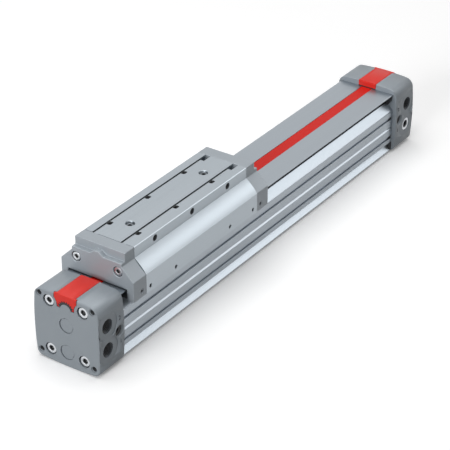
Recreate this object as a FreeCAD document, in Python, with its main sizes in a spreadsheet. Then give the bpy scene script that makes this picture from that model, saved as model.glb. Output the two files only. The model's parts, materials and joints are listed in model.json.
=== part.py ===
import FreeCAD, Part
import math
import os
import re
import Sketcher

# Rodless pneumatic cylinder with a plain guided carriage, in millimetres.
# X runs along the barrel, Z points up, and the supply ports face -Y.
# Heights in the sheet are counted from the underside of the barrel, which the end caps' feet
# carry a little above the surface the cylinder stands on.

doc = FreeCAD.newDocument("RodlessCylinder")
sheet = doc.addObject("Spreadsheet::Sheet", "Dims")

SIZES = [
    # travel and lengths
    ("stroke", 214.0),
    ("stop_gap", 1.0),
    ("rest_travel", 6.5),
    ("cap_length", 30.0),
    ("carriage_body_length", 145.0),
    ("carriage_cap_length", 15.5),
    # barrel section
    ("bore_radius", 16.0),
    ("bore_height", 25.0),
    ("barrel_half_width", 26.5),
    ("barrel_height", 53.6),
    ("lip_bevel", 0.8),
    ("shoulder_depth", 7.25),
    ("shoulder_round", 1.2),
    ("lower_vee_height", 0.7),
    ("lower_vee_depth", 3.8),
    ("foot_bevel", 0.5),
    ("groove_lower_height", 13.4),
    ("groove_mouth", 2.8),
    ("groove_lip", 1.2),
    ("groove_inner", 5.8),
    ("groove_depth", 4.6),
    ("notch_depth", 1.2),
    ("duct_radius", 1.8),
    # slot and bands
    ("slot_half_width", 2.9),
    ("band_seat_depth", 1.1),
    ("outer_band_thickness", 0.9),
    ("inner_band_thickness", 0.4),
    ("magnet_width", 1.3),
    ("magnet_depth", 1.2),
    ("band_reach", 12.0),
    # end caps
    ("cap_drop", 0.8),
    ("cap_bulge", 1.6),
    ("foot_flat", 0.1),
    ("cap_bottom_round", 5.0),
    ("cap_top_round", 7.5),
    ("cap_edge_bevel", 0.7),
    ("screw_low", 8.0),
    ("screw_radius", 2.5),
    ("screw_play", 0.25),
    ("thread_play", 0.05),
    ("screw_head_radius", 4.25),
    ("screw_head_height", 4.6),
    ("screw_recess_radius", 5.0),
    ("screw_recess_depth", 5.4),
    ("screw_thread", 14.0),
    ("screw_socket", 4.0),
    ("corner_hole_low", 4.8),
    ("corner_hole_radius", 2.1),
    ("corner_hole_depth", 12.0),
    ("blank_low", 10.4),
    ("blank_high", 33.4),
    ("blank_radius", 6.3),
    ("blank_depth", 0.5),
    ("port_offset", 10.6),
    ("port_low", 18.0),
    ("port_high", 38.3),
    ("port_radius", 5.9),
    ("port_depth", 13.0),
    ("spot_radius", 11.2),
    ("cushion_offset", 23.7),
    ("cushion_height", 27.6),
    ("cushion_recess_radius", 4.65),
    ("cushion_recess_depth", 5.5),
    ("cushion_screw_radius", 2.55),
    ("cushion_screw_length", 7.0),
    ("cushion_screw_depth", 9.0),
    ("cushion_screw_proud", 0.5),
    ("running_gap", 0.05),
    ("cut_over", 1.0),
    ("nose_hole_depth", 6.0),
    ("spigot_length", 6.0),
    ("seal_width", 2.6),
    ("nose_radius", 5.2),
    ("nose_bore", 2.5),
    ("nose_length", 14.0),
    ("plug_socket", 6.0),
    ("plug_length", 8.0),
    ("plug_sink", 0.4),
    # red covers of the band clamps
    ("cover_proud", 0.2),
    ("cover_play", 0.15),
    ("flange_thickness", 1.8),
    ("flange_scoop", 7.7),
    ("notch_gap", 0.5),
    ("clamp_screw_radius", 1.95),
    # carriage
    ("skirt_wall", 5.1),
    ("plate_edge_bevel", 0.5),
    ("top_slot_half", 2.5),
    ("top_slot_lip", 1.6),
    ("top_slot_inner", 4.2),
    ("top_slot_depth", 6.0),
    ("slot_bar_sink", 0.4),
    ("slot_bar_play", 0.1),
    ("slot_bar_neck_play", 0.3),
    ("slot_bar_first_hole", 18.0),
    ("bar_hole_radius", 2.1),
    ("side_hole_radius", 2.6),
    ("side_hole_depth", 4.5),
    ("grub_radius", 1.6),
    ("grub_sink", 0.6),
    ("nose_step", 4.2),
    ("bump_half_top", 2.2),
    ("bump_half_bottom", 6.2),
    ("ledge_draft", 2.0),
    ("cap_tunnel_gap", 0.4),
    ("wiper_thickness", 13.5),
    ("wiper_gap", 0.15),
    ("face_screw_radius", 2.0),
    ("face_head_radius", 3.5),
    ("face_head_height", 3.6),
    ("face_recess_radius", 4.1),
    ("face_recess_depth", 4.2),
    ("face_screw_thread", 9.0),
    ("cap_side_screw_offset", 10.3),
    ("cap_side_screw_radius", 2.1),
    ("cap_side_screw_depth", 2.6),
    ("cap_side_screw_sink", 0.3),
    # guide strips on the dovetail
    ("shoe_gap", 0.15),
    # yoke and pistons
    ("block_half_width", 15.0),
    ("cavity_gap", 1.0),
    ("band_guide_thickness", 0.8),
    ("band_guide_gap", 0.4),
    ("band_guide_over", 4.0),
    ("band_guide_end", 3.0),
    ("ramp_lead", 1.0),
    ("roof_lead", 5.0),
    ("channel_clear", 3.0),
    ("thread_runout", 0.6),
    ("stub_gap", 0.5),
    ("clamp_play", 0.2),
    ("piston_gap", 0.4),
    ("piston_length", 24.0),
    ("piston_seal_width", 3.2),
    ("piston_seal_offset", 4.0),
    ("wear_ring_width", 6.0),
    ("wear_ring_offset", 12.0),
    ("nose_socket_radius", 5.9),
    ("nose_socket_depth", 16.0),
    ("stub_radius", 6.0),
    ("stub_length", 5.5),
    ("magnet_ring_width", 5.0),
    ("magnet_ring_inset", 10.5),
    ("inner_ramp_inset", 12.5),
    # band heights and ramps at the yoke
    ("yoke_screw_head_radius", 3.5),
    ("yoke_screw_recess_radius", 3.7),
    ("yoke_screw_recess_depth", 5.2),
    ("yoke_screw_head_height", 4.0),
    ("yoke_screw_radius", 2.0),
    ("yoke_screw_thread", 4.6),
]

# Sizes that keep a fixed distance from another one: name, what it follows, distance
FOLLOWERS = [
    ("cap_top", "Dims.barrel_height", 3.5),
    ("cover_floor", "Dims.barrel_height", 1.9),
    ("screw_high", "Dims.barrel_height", -3.9),
    ("shoulder_height", "Dims.barrel_height", -15.0),
    ("tunnel_top", "Dims.barrel_height", 3.3),
    ("block_bottom", "Dims.barrel_height", 1.0),
    ("upper_floor", "Dims.barrel_height", 3.6),
    ("upper_roof", "Dims.barrel_height", 8.4),
    ("outer_band_crest", "Dims.barrel_height", 5.7),
    ("block_top", "Dims.barrel_height", 14.4),
    ("carriage_top", "Dims.barrel_height", 27.7),
    ("skirt_bottom", "Dims.barrel_height", -8.5),
    ("cap_tunnel_top", "Dims.barrel_height", 0.7),
    ("wiper_top", "Dims.barrel_height", 2.8),
    ("groove_upper_height", "Dims.shoulder_height", -6.7),
    ("notch_height", "(Dims.groove_upper_height + Dims.groove_lower_height) / 2", -0.15),
    ("plate_side_low", "Dims.carriage_top", -9.3),
    ("ledge_height", "Dims.carriage_top", -6.9),
    ("bump_height", "Dims.ledge_height", 3.0),
    ("side_hole_height", "Dims.carriage_top", -4.7),
    ("face_screw_height", "Dims.carriage_top", -14.6),
    ("grub_height", "Dims.skirt_bottom", 4.5),
    ("cap_side_screw_height", "Dims.skirt_bottom", 5.0),
    ("corner_hole_high", "Dims.cap_top", -3.6),
    ("flange_shoulder", "Dims.cap_top", -2.5),
    ("flange_bottom", "Dims.cap_top", -9.2),
    ("notch_centre", "Dims.cap_top", -10.7),
    ("inner_seat_height", "Dims.bore_height + Dims.bore_radius", 0.4),
    ("channel_floor", "Dims.bore_height", 7.0),
    ("channel_roof", "Dims.bore_height", 10.4),
    ("inner_band_dip", "Dims.bore_height", 8.9),
    ("spigot_radius", "Dims.bore_radius", -0.1),
    ("seal_inner_radius", "Dims.bore_radius", -1.6),
    ("yoke_radius", "Dims.bore_radius", -0.7),
    ("piston_radius", "Dims.bore_radius", -0.4),
    ("piston_seal_radius", "Dims.bore_radius", -0.05),
    ("piston_seal_root", "Dims.bore_radius", -2.8),
    ("wear_ring_radius", "Dims.bore_radius", -0.07),
    ("wear_ring_root", "Dims.bore_radius", -1.6),
    ("magnet_ring_root", "Dims.bore_radius", -3.5),
    ("cap_half_width", "Dims.barrel_half_width", 2.0),
    ("lip_half_width", "Dims.barrel_half_width", -0.5),
    ("screw_side", "Dims.barrel_half_width", -11.0),
    ("duct_offset", "Dims.barrel_half_width", -5.3),
    ("plate_half_width", "Dims.barrel_half_width", -3.7),
    ("skirt_half_width", "Dims.barrel_half_width", 6.7),
    ("wiper_half_width", "Dims.barrel_half_width", 1.9),
    ("shoe_inner", "Dims.barrel_half_width", -6.5),
    ("shoe_hook", "Dims.barrel_half_width", -4.7),
    ("corner_hole_side", "Dims.cap_half_width", -4.3),
    ("spot_plane", "Dims.cap_half_width", 0.9),
    ("cover_half_width", "Dims.screw_side", -6.9),
    ("flange_half_top", "Dims.screw_side", -5.4),
    ("flange_half_bottom", "Dims.screw_side", -7.9),
    ("notch_radius", "Dims.flange_half_bottom", -2.2),
    ("slot_bar_side", "Dims.plate_half_width", -9.8),
    ("face_screw_side", "Dims.plate_half_width", -3.8),
    ("band_seat_half", "Dims.slot_half_width", 2.35),
    ("outer_band_half", "Dims.band_seat_half", -0.2),
    ("clamp_half_width", "Dims.band_seat_half", 0.15),
    ("magnet_start", "Dims.slot_half_width", 0.6),
    ("inner_seat_half", "Dims.slot_half_width", 2.0),
    ("inner_band_half", "Dims.inner_seat_half", -0.2),
    ("web_half_width", "Dims.slot_half_width", -0.5),
    ("channel_half_width", "Dims.inner_band_half", 0.9),
    ("block_half_length", "Dims.carriage_body_length / 2", -20.5),
    ("hole_pitch", "Dims.block_half_length", -5.0),
    ("web_half_length", "Dims.block_half_length", -22.0),
    ("outer_ramp_outer", "Dims.block_half_length", 14.0),
    ("outer_ramp_inner", "Dims.web_half_length", 4.0),
    ("upper_floor_half", "Dims.web_half_length", 6.0),
    ("inner_ramp_inner", "Dims.web_half_length", -1.0),
    ("slot_bar_length", "Dims.carriage_body_length", -9.0),
    ("grub_outer", "Dims.carriage_body_length / 2", -5.3),
    ("grub_inner", "Dims.grub_outer", -31.7),
]

for alias, _, distance in FOLLOWERS:
    SIZES.append((alias + "_step", distance))
for row, (alias, value) in enumerate(SIZES, start=1):
    sheet.set("A%d" % row, alias)
    sheet.set("B%d" % row, str(value))
    sheet.setAlias("B%d" % row, alias)
doc.recompute()


FOLLOWING = {alias: "(%s + Dims.%s_step)" % (base, alias) for alias, base, _ in FOLLOWERS}


def size(alias):
    return "Dims." + alias


def spelled(expression):
    """The expression with each following size written out as the size it follows and its distance."""
    def replace(match):
        alias = match.group(1)
        return spelled(FOLLOWING[alias]) if alias in FOLLOWING else match.group(0)
    return re.sub(r"Dims\.(\w+)", replace, expression)


def number(expression):
    return float(sheet.evalExpression(spelled(expression)))


def bind(item, path, expression):
    item.setExpression(path, spelled(expression))


# Lengths and places that follow from the sheet
BARREL_LENGTH = "(Dims.stroke + Dims.carriage_body_length + 2 * Dims.carriage_cap_length + 2 * Dims.stop_gap)"
BARREL_END = "(" + BARREL_LENGTH + " / 2)"
CAP_FACE = "(" + BARREL_END + " + Dims.cap_length)"
BODY_HALF = "(Dims.carriage_body_length / 2)"
CARRIAGE_HALF = "(" + BODY_HALF + " + Dims.carriage_cap_length)"
CARRIAGE_X = "(" + CARRIAGE_HALF + " + Dims.stop_gap + Dims.rest_travel - " + BARREL_END + ")"
FOOT = "(Dims.cap_drop + Dims.cap_bulge - Dims.foot_flat)"
PISTON_END = "((" + BARREL_LENGTH + " - Dims.stroke) / 2 - Dims.spigot_length - Dims.piston_gap)"
PISTON_BACK = "(" + PISTON_END + " - Dims.piston_length)"
YOKE_HALF = "(" + PISTON_BACK + " - Dims.running_gap)"
MAGNET_X = "(" + YOKE_HALF + " - Dims.magnet_ring_inset)"
INNER_RAMP_OUTER = "(" + YOKE_HALF + " - Dims.inner_ramp_inset)"
YOKE_TOP = "(Dims.bore_height + Dims.yoke_radius - Dims.thread_play)"
BAND_FLOOR = "(Dims.barrel_height - Dims.band_seat_depth)"
VEE_DEPTH_Y = "(Dims.barrel_half_width - Dims.shoulder_depth)"
VEE_APEX_Z = "(Dims.shoulder_height + Dims.shoulder_depth)"
LIP_UNDER = "(" + VEE_APEX_Z + " + Dims.lip_half_width - " + VEE_DEPTH_Y + ")"
SKIRT_CORNER = "(Dims.plate_side_low - Dims.skirt_half_width + Dims.plate_half_width)"
SKIRT_INNER = "(Dims.skirt_half_width - Dims.skirt_wall)"
DOME = "((Dims.cap_half_width ^ 2 + Dims.cap_bulge ^ 2) / (2 * Dims.cap_bulge))"
SIDE_ARC_HALF = "((Dims.cap_top + Dims.cap_drop) / 2)"
SIDE_ARC = "((" + SIDE_ARC_HALF + " ^ 2 + Dims.cap_bulge ^ 2) / (2 * Dims.cap_bulge))"


def minus(expression):
    return "-(" + expression + ")"


# Sketch helpers: every point and radius is tied to the sheet by an expression


def pin(sketch, index, position, x, y):
    for kind, axis, expression in (("DistanceX", -2, x), ("DistanceY", -1, y)):
        place = number(expression)
        if abs(place) < 1e-6:
            sketch.addConstraint(Sketcher.Constraint("PointOnObject", index, position, axis))
        else:
            constraint = sketch.addConstraint(Sketcher.Constraint(kind, -1, 1, index, position, place))
            bind(sketch, "Constraints[%d]" % constraint, expression)


def outline(sketch, points, arcs=None):
    """A closed chain, counter-clockwise. arcs gives the radius of a curved stretch by its index;
    a radius behind a minus sign bends that stretch inwards."""
    arcs = arcs or {}
    places = [FreeCAD.Vector(number(x), number(y), 0) for x, y in points]
    chain = []
    for index, start in enumerate(places):
        end = places[(index + 1) % len(places)]
        if index not in arcs:
            geometry = sketch.addGeometry(Part.LineSegment(start, end), False)
            chain.append((geometry, 1, 2))
            continue
        radius = number(arcs[index])
        chord = end - start
        outward = FreeCAD.Vector(chord.y, -chord.x, 0).normalize() * math.copysign(1, radius)
        rise = abs(radius) - math.sqrt(radius ** 2 - chord.Length ** 2 / 4)
        middle = (start + end) * 0.5 + outward * rise
        geometry = sketch.addGeometry(Part.Arc(start, middle, end), False)
        chain.append((geometry, 1, 2) if radius > 0 else (geometry, 2, 1))
        constraint = sketch.addConstraint(Sketcher.Constraint("Radius", geometry, abs(radius)))
        bind(sketch, "Constraints[%d]" % constraint, "abs(" + arcs[index] + ")")
    for index, (geometry, first, last) in enumerate(chain):
        following, following_first, _ = chain[(index + 1) % len(chain)]
        sketch.addConstraint(Sketcher.Constraint("Coincident", geometry, last, following, following_first))
        pin(sketch, geometry, first, *points[index])


def mirrored(half):
    """Points of a half outline on the +Y side, bottom to top, closed by their mirror images."""
    return half + [(minus(y), z) for y, z in reversed(half)]


def rectangle(sketch, x_low, x_high, y_low, y_high):
    outline(sketch, [(x_low, y_low), (x_high, y_low), (x_high, y_high), (x_low, y_high)])


def circle(sketch, x, y, radius):
    centre = FreeCAD.Vector(number(x), number(y), 0)
    index = sketch.addGeometry(Part.Circle(centre, FreeCAD.Vector(0, 0, 1), number(radius)), False)
    pin(sketch, index, 3, x, y)
    constraint = sketch.addConstraint(Sketcher.Constraint("Radius", index, number(radius)))
    bind(sketch, "Constraints[%d]" % constraint, radius)


# Feature helpers


def new_body(label):
    body = doc.addObject("PartDesign::Body", label)
    body.Label = label
    return body


def place(item, x="0", y="0", z="0", rotation=None):
    """Puts an item at its place; z counts from the barrel's underside."""
    if rotation:
        item.Placement = FreeCAD.Placement(FreeCAD.Vector(0, 0, 0), rotation)
    bind(item, "Placement.Base.x", x)
    bind(item, "Placement.Base.y", y)
    bind(item, "Placement.Base.z", FOOT + " + " + z)


def new_sketch(body, name, role, offset="0"):
    sketch = body.newObject("Sketcher::SketchObject", name)
    plane = [item for item in body.Origin.OriginFeatures if item.Role == role][0]
    sketch.AttachmentSupport = [(plane, "")]
    sketch.MapMode = "FlatFace"
    bind(sketch, "AttachmentOffset.Base.z", offset)
    return sketch


def pad(body, sketch, length, symmetric=False, reverse=False):
    feature = body.newObject("PartDesign::Pad", sketch.Name + "_pad")
    feature.Profile = sketch
    feature.SideType = "Symmetric" if symmetric else "One side"
    feature.Reversed = reverse
    bind(feature, "Length", length)
    sketch.Visibility = False
    doc.recompute()
    return feature


def cut(body, sketch, depth=None, symmetric=False, reverse=False):
    """A pocket; without a depth it goes right through."""
    before = body.Shape.Volume
    feature = body.newObject("PartDesign::Pocket", sketch.Name + "_cut")
    feature.Profile = sketch
    feature.SideType = "Symmetric" if symmetric else "One side"
    feature.Reversed = reverse
    if depth is None:
        feature.Type = "ThroughAll"
    else:
        bind(feature, "Length", depth)
    sketch.Visibility = False
    doc.recompute()
    if body.Shape.Volume >= before:
        raise RuntimeError(feature.Name + " removes nothing")
    return feature


def revolve(body, sketch):
    feature = body.newObject("PartDesign::Revolution", sketch.Name + "_turn")
    feature.Profile = sketch
    feature.ReferenceAxis = (sketch, ["H_Axis"])
    feature.Angle = 360
    doc.recompute()
    return feature


def edges_where(feature, test):
    """Names of the feature's edges whose two ends and middle all pass the test."""
    names = []
    for index, edge in enumerate(feature.Shape.Edges, start=1):
        first, last = edge.ParameterRange
        samples = [edge.valueAt(first + (last - first) * share) for share in (0.02, 0.5, 0.98)]
        if all(test(point) for point in samples):
            names.append("Edge%d" % index)
    return names


def round_edges(body, name, test, radius, kind="Fillet"):
    base = body.Tip
    edges = edges_where(base, test)
    feature = body.newObject("PartDesign::" + kind, name)
    feature.Base = (base, edges)
    bind(feature, "Radius" if kind == "Fillet" else "Size", radius)
    doc.recompute()
    return feature


def near(value, expression, tolerance=0.02):
    return abs(value - number(expression)) < tolerance


# Helpers for fasteners and rings made from plain solids


def cylinder(name, radius, height):
    item = doc.addObject("Part::Cylinder", name)
    bind(item, "Radius", radius)
    bind(item, "Height", height)
    return item


def hexagon(name, across_flats, height):
    item = doc.addObject("Part::Prism", name)
    item.Polygon = 6
    bind(item, "Circumradius", across_flats + " / sqrt(3)")
    bind(item, "Height", height)
    return item


def subtract(name, base, tool):
    item = doc.addObject("Part::Cut", name)
    item.Base = base
    item.Tool = tool
    return item


def join(name, first, second):
    item = doc.addObject("Part::Fuse", name)
    item.Base = first
    item.Tool = second
    return item


def group(label, items):
    item = doc.addObject("Part::Compound", label)
    item.Label = label
    item.Links = items
    return item


TO_RIGHT = FreeCAD.Rotation(FreeCAD.Vector(0, 1, 0), 90)
TO_LEFT = FreeCAD.Rotation(FreeCAD.Vector(0, 1, 0), -90)
TO_BACK = FreeCAD.Rotation(FreeCAD.Vector(1, 0, 0), -90)
TO_FRONT = FreeCAD.Rotation(FreeCAD.Vector(1, 0, 0), 90)
DOWN = FreeCAD.Rotation(FreeCAD.Vector(1, 0, 0), 180)


def socket_screw(name, sizes, x, y, z, rotation):
    """A cap screw whose head starts at the given place and whose shank follows the rotated Z axis."""
    head = cylinder(name + "_head", sizes["head_radius"], sizes["head_height"])
    shank = cylinder(name + "_shank", sizes["radius"], sizes["head_height"] + " + " + sizes["length"])
    screw = join(name, head, shank)
    if sizes["socket"]:
        socket = hexagon(name + "_socket", sizes["socket"], sizes["head_height"] + " / 2")
        screw = subtract(name + "_cut", screw, socket)
    place(screw, x, y, z, rotation)
    return screw


# Barrel: an extruded profile with a dovetail top, sensor grooves, a slotted bore and screw channels


def make_barrel():
    body = new_body("barrel_profile")
    place(body)
    vee_low = size("lower_vee_height")
    half = [
        ("Dims.barrel_half_width - Dims.foot_bevel", "0"),
        (size("barrel_half_width"), size("foot_bevel")),
        (size("barrel_half_width"), vee_low),
        ("Dims.barrel_half_width - Dims.lower_vee_depth", vee_low + " + Dims.lower_vee_depth"),
        (size("barrel_half_width"), vee_low + " + 2 * Dims.lower_vee_depth"),
        (size("barrel_half_width"), size("shoulder_height")),
        (VEE_DEPTH_Y, VEE_APEX_Z),
        (size("lip_half_width"), LIP_UNDER),
        (size("lip_half_width"), "Dims.barrel_height - Dims.lip_bevel / 2"),
        ("Dims.lip_half_width - Dims.lip_bevel", size("barrel_height")),
    ]
    sketch = new_sketch(body, "barrel_section", "YZ_Plane")
    outline(sketch, mirrored(half))
    pad(body, sketch, BARREL_LENGTH, symmetric=True)

    bore = new_sketch(body, "barrel_bore", "YZ_Plane")
    circle(bore, "0", size("bore_height"), size("bore_radius"))
    cut(body, bore, symmetric=True)

    slot = new_sketch(body, "barrel_slot", "YZ_Plane")
    magnet_end = "Dims.magnet_start + Dims.magnet_width"
    magnet_floor = BAND_FLOOR + " - Dims.magnet_depth"
    outline(slot, mirrored([
        (size("inner_seat_half"), "Dims.bore_height + Dims.bore_radius / 2"),
        (size("inner_seat_half"), size("inner_seat_height")),
        (size("slot_half_width"), size("inner_seat_height")),
        (size("slot_half_width"), BAND_FLOOR),
        (size("magnet_start"), BAND_FLOOR),
        (size("magnet_start"), magnet_floor),
        (magnet_end, magnet_floor),
        (magnet_end, BAND_FLOOR),
        (size("band_seat_half"), BAND_FLOOR),
        (size("band_seat_half"), "Dims.barrel_height + Dims.cut_over"),
    ]))
    cut(body, slot, symmetric=True)

    grooves = new_sketch(body, "barrel_grooves", "YZ_Plane")
    outside = "Dims.barrel_half_width + Dims.cut_over"
    for height in ("groove_upper_height", "groove_lower_height"):
        for side in (1, -1):
            steps = [
                ("-Dims.groove_mouth / 2", outside),
                ("-Dims.groove_mouth / 2", "Dims.barrel_half_width - Dims.groove_lip"),
                ("-Dims.groove_inner / 2", "Dims.barrel_half_width - Dims.groove_lip"),
                ("-Dims.groove_inner / 2", "Dims.barrel_half_width - Dims.groove_depth"),
            ]
            steps = steps + [(offset.replace("-", ""), depth) for offset, depth in reversed(steps)]
            points = [
                ("%d * (%s)" % (side, depth), "%s + %s" % (size(height), offset)) for offset, depth in steps]
            outline(grooves, points if side < 0 else list(reversed(points)))
    for side in (1, -1):
        outer_side = "%d * (%s)" % (side, outside)
        points = [
            (outer_side, "Dims.notch_height - Dims.notch_depth - Dims.cut_over"),
            (outer_side, "Dims.notch_height + Dims.notch_depth + Dims.cut_over"),
            ("%d * (Dims.barrel_half_width - Dims.notch_depth)" % side, size("notch_height")),
        ]
        outline(grooves, points if side > 0 else list(reversed(points)))
    cut(body, grooves, symmetric=True)

    channels = new_sketch(body, "barrel_channels", "YZ_Plane")
    for side in ("", "-"):
        for height in ("screw_low", "screw_high"):
            circle(channels, side + "Dims.screw_side", size(height), size("screw_radius"))
        circle(channels, side + "Dims.duct_offset", size("notch_height"), size("duct_radius"))
    cut(body, channels, symmetric=True)

    def shoulder(point):
        return near(abs(point.y), size("barrel_half_width")) and near(point.z, size("shoulder_height"))

    round_edges(body, "barrel_shoulder_round", shoulder, size("shoulder_round"))
    return body


# End caps: bulged castings with ports, screw recesses, a clamp pocket and a channel for the red cover


def flange_points(play):
    """The cover's flange on the end face, grown by a play; the arch at its lower edge is an arc."""
    low = "(Dims.flange_bottom - %s)" % play
    arch = "sqrt((Dims.notch_radius - %s) ^ 2 - (%s - Dims.notch_centre) ^ 2)" % (play, low)
    half_bottom = "(Dims.flange_half_bottom + %s)" % play
    half_top = "(Dims.flange_half_top + %s)" % play
    points = [
        (arch, low),
        (half_bottom, low),
        (half_top, size("flange_shoulder")),
        (half_top, "Dims.cap_top + 2 * Dims.cap_bulge"),
        (minus(half_top), "Dims.cap_top + 2 * Dims.cap_bulge"),
        (minus(half_top), size("flange_shoulder")),
        (minus(half_bottom), low),
        (minus(arch), low),
    ]
    arch_radius = "-(Dims.notch_radius - %s)" % play
    return points, {1: "-Dims.flange_scoop", 5: "-Dims.flange_scoop", 7: arch_radius}


def make_end_cap(label, side):
    """side is -1 for the left cap and 1 for the right one; cuts from its outer face point inwards."""
    body = new_body(label)
    place(body)
    face = "%d * %s" % (side, CAP_FACE)
    root = "%d * %s" % (side, BARREL_END)
    pad_in = side > 0
    cut_in = side < 0
    cut_out = side > 0

    section = new_sketch(body, label + "_section", "YZ_Plane", face)
    outline(section, mirrored([
        (size("cap_half_width"), "-Dims.cap_drop"),
        (size("cap_half_width"), size("cap_top")),
    ]), {0: SIDE_ARC, 1: DOME, 2: SIDE_ARC, 3: DOME})
    pad(body, section, size("cap_length"), reverse=pad_in)
    for name, height, radius in (("top", size("cap_top"), "cap_top_round"),
                                 ("bottom", "-Dims.cap_drop", "cap_bottom_round")):
        def corner(point):
            return near(abs(point.y), size("cap_half_width")) and near(point.z, height)
        round_edges(body, label + "_" + name + "_round", corner, size(radius))
    round_edges(
        body, label + "_face_bevel", lambda point: near(point.x, face), size("cap_edge_bevel"), "Chamfer")

    foot = new_sketch(body, label + "_foot", "YZ_Plane", face)
    below = minus(FOOT) + " - Dims.cut_over"
    rectangle(foot, "-Dims.cap_half_width", size("cap_half_width"), below, minus(FOOT))
    cut(body, foot, symmetric=True)

    seat = new_sketch(body, label + "_cover_seat", "YZ_Plane", face)
    rectangle(
        seat, "-(Dims.cover_half_width + Dims.cover_play)", "Dims.cover_half_width + Dims.cover_play",
        size("cover_floor"), "Dims.cap_top + 2 * Dims.cap_bulge")
    cut(body, seat, symmetric=True)
    flange = new_sketch(body, label + "_flange_seat", "YZ_Plane", face)
    points, arcs = flange_points("Dims.notch_gap")
    outline(flange, points, arcs)
    cut(body, flange, size("flange_thickness") + " + Dims.cover_play", reverse=cut_in)

    recesses = new_sketch(body, label + "_screw_recesses", "YZ_Plane", face)
    holes = new_sketch(body, label + "_screw_holes", "YZ_Plane", face)
    corners = new_sketch(body, label + "_corner_holes", "YZ_Plane", face)
    for mirror in ("", "-"):
        for height in ("screw_low", "screw_high"):
            circle(recesses, mirror + "Dims.screw_side", size(height), size("screw_recess_radius"))
            circle(holes, mirror + "Dims.screw_side", size(height), "Dims.screw_radius + Dims.screw_play")
        for height in ("corner_hole_low", "corner_hole_high"):
            circle(corners, mirror + "Dims.corner_hole_side", size(height), size("corner_hole_radius"))
    cut(body, recesses, size("screw_recess_depth"), reverse=cut_in)
    cut(body, holes, size("cap_length"), reverse=cut_in)
    cut(body, corners, size("corner_hole_depth"), reverse=cut_in)
    blanks = new_sketch(body, label + "_blanks", "YZ_Plane", face)
    for height in ("blank_low", "blank_high"):
        circle(blanks, "0", size(height), size("blank_radius"))
    cut(body, blanks, size("blank_depth"), reverse=cut_in)

    port_x = "%d * (%s - Dims.port_offset)" % (side, CAP_FACE)
    cushion_x = "%d * (%s - Dims.cushion_offset)" % (side, CAP_FACE)
    wide = "Dims.cap_half_width + 2 * Dims.cap_bulge"
    for height in ("port_low", "port_high"):
        spot = new_sketch(body, label + "_spot_" + height, "XZ_Plane", wide)
        circle(spot, port_x, size(height), size("spot_radius"))
        cut(body, spot, "%s - Dims.spot_plane" % wide)
        port = new_sketch(body, label + "_hole_" + height, "XZ_Plane", size("spot_plane"))
        circle(port, port_x, size(height), size("port_radius"))
        cut(body, port, size("port_depth"))
    recess = new_sketch(body, label + "_cushion_recess", "XZ_Plane", wide)
    circle(recess, cushion_x, size("cushion_height"), size("cushion_recess_radius"))
    cut(body, recess, "%s - Dims.spot_plane + Dims.cushion_recess_depth" % wide)
    recess_floor = "Dims.spot_plane - Dims.cushion_recess_depth"
    well = new_sketch(body, label + "_cushion_well", "XZ_Plane", recess_floor)
    circle(well, cushion_x, size("cushion_height"), "Dims.cushion_screw_radius + Dims.running_gap")
    cut(body, well, size("cushion_screw_depth"))

    clamp = new_sketch(body, label + "_clamp_pocket", "YZ_Plane", root)
    rectangle(
        clamp, "-(Dims.clamp_half_width + Dims.cover_play)", "Dims.clamp_half_width + Dims.cover_play",
        "Dims.inner_seat_height - Dims.inner_band_thickness", size("barrel_height"))
    cut(body, clamp, size("band_reach"), reverse=cut_out)
    clamp_x = "%d * (%s + Dims.band_reach / 2)" % (side, BARREL_END)
    grub = new_sketch(body, label + "_clamp_screw_hole", "XY_Plane", size("cover_floor"))
    circle(grub, clamp_x, "0", size("clamp_screw_radius"))
    cut(body, grub, "Dims.cover_floor - Dims.barrel_height")

    root_ring = new_sketch(body, label + "_seal_root", "YZ_Plane", root)
    circle(root_ring, "0", size("bore_height"), size("seal_inner_radius"))
    pad(body, root_ring, size("seal_width"), reverse=pad_in)
    spigot = new_sketch(body, label + "_spigot", "YZ_Plane", "%s - %d * Dims.seal_width" % (root, side))
    circle(spigot, "0", size("bore_height"), size("spigot_radius"))
    pad(body, spigot, "Dims.spigot_length - Dims.seal_width", reverse=pad_in)
    nose_hole = new_sketch(
        body, label + "_nose_hole", "YZ_Plane", "%s - %d * Dims.spigot_length" % (root, side))
    circle(nose_hole, "0", size("bore_height"), size("nose_radius"))
    cut(body, nose_hole, size("nose_hole_depth"), reverse=cut_out)
    return body


# Red covers over the band clamps: a strip along the cap's top with a flange over the end face


def make_cover(label, side):
    body = new_body(label)
    place(body)
    face = "%d * %s" % (side, CAP_FACE)
    crown = "(%s + Dims.cover_proud)" % DOME
    crown_centre = "Dims.cap_top + Dims.cap_bulge - %s" % DOME
    edge_height = "%s + sqrt(%s ^ 2 - Dims.cover_half_width ^ 2)" % (crown_centre, crown)
    strip = new_sketch(body, label + "_strip", "YZ_Plane", face)
    outline(strip, mirrored([
        (size("cover_half_width"), size("cover_floor")),
        (size("cover_half_width"), edge_height),
    ]), {1: crown})
    pad(body, strip, size("cap_length"), reverse=side > 0)
    flange = new_sketch(body, label + "_flange", "YZ_Plane", face)
    points, arcs = flange_points("0")
    half_top = size("flange_half_top")
    shoulder_height = "%s + sqrt(%s ^ 2 - %s ^ 2)" % (crown_centre, crown, half_top)
    points[3] = (half_top, shoulder_height)
    points[4] = (minus(half_top), shoulder_height)
    arcs[3] = crown
    outline(flange, points, arcs)
    pad(body, flange, size("flange_thickness"), reverse=side > 0)
    return body


# Small parts inside and on the end caps


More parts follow.
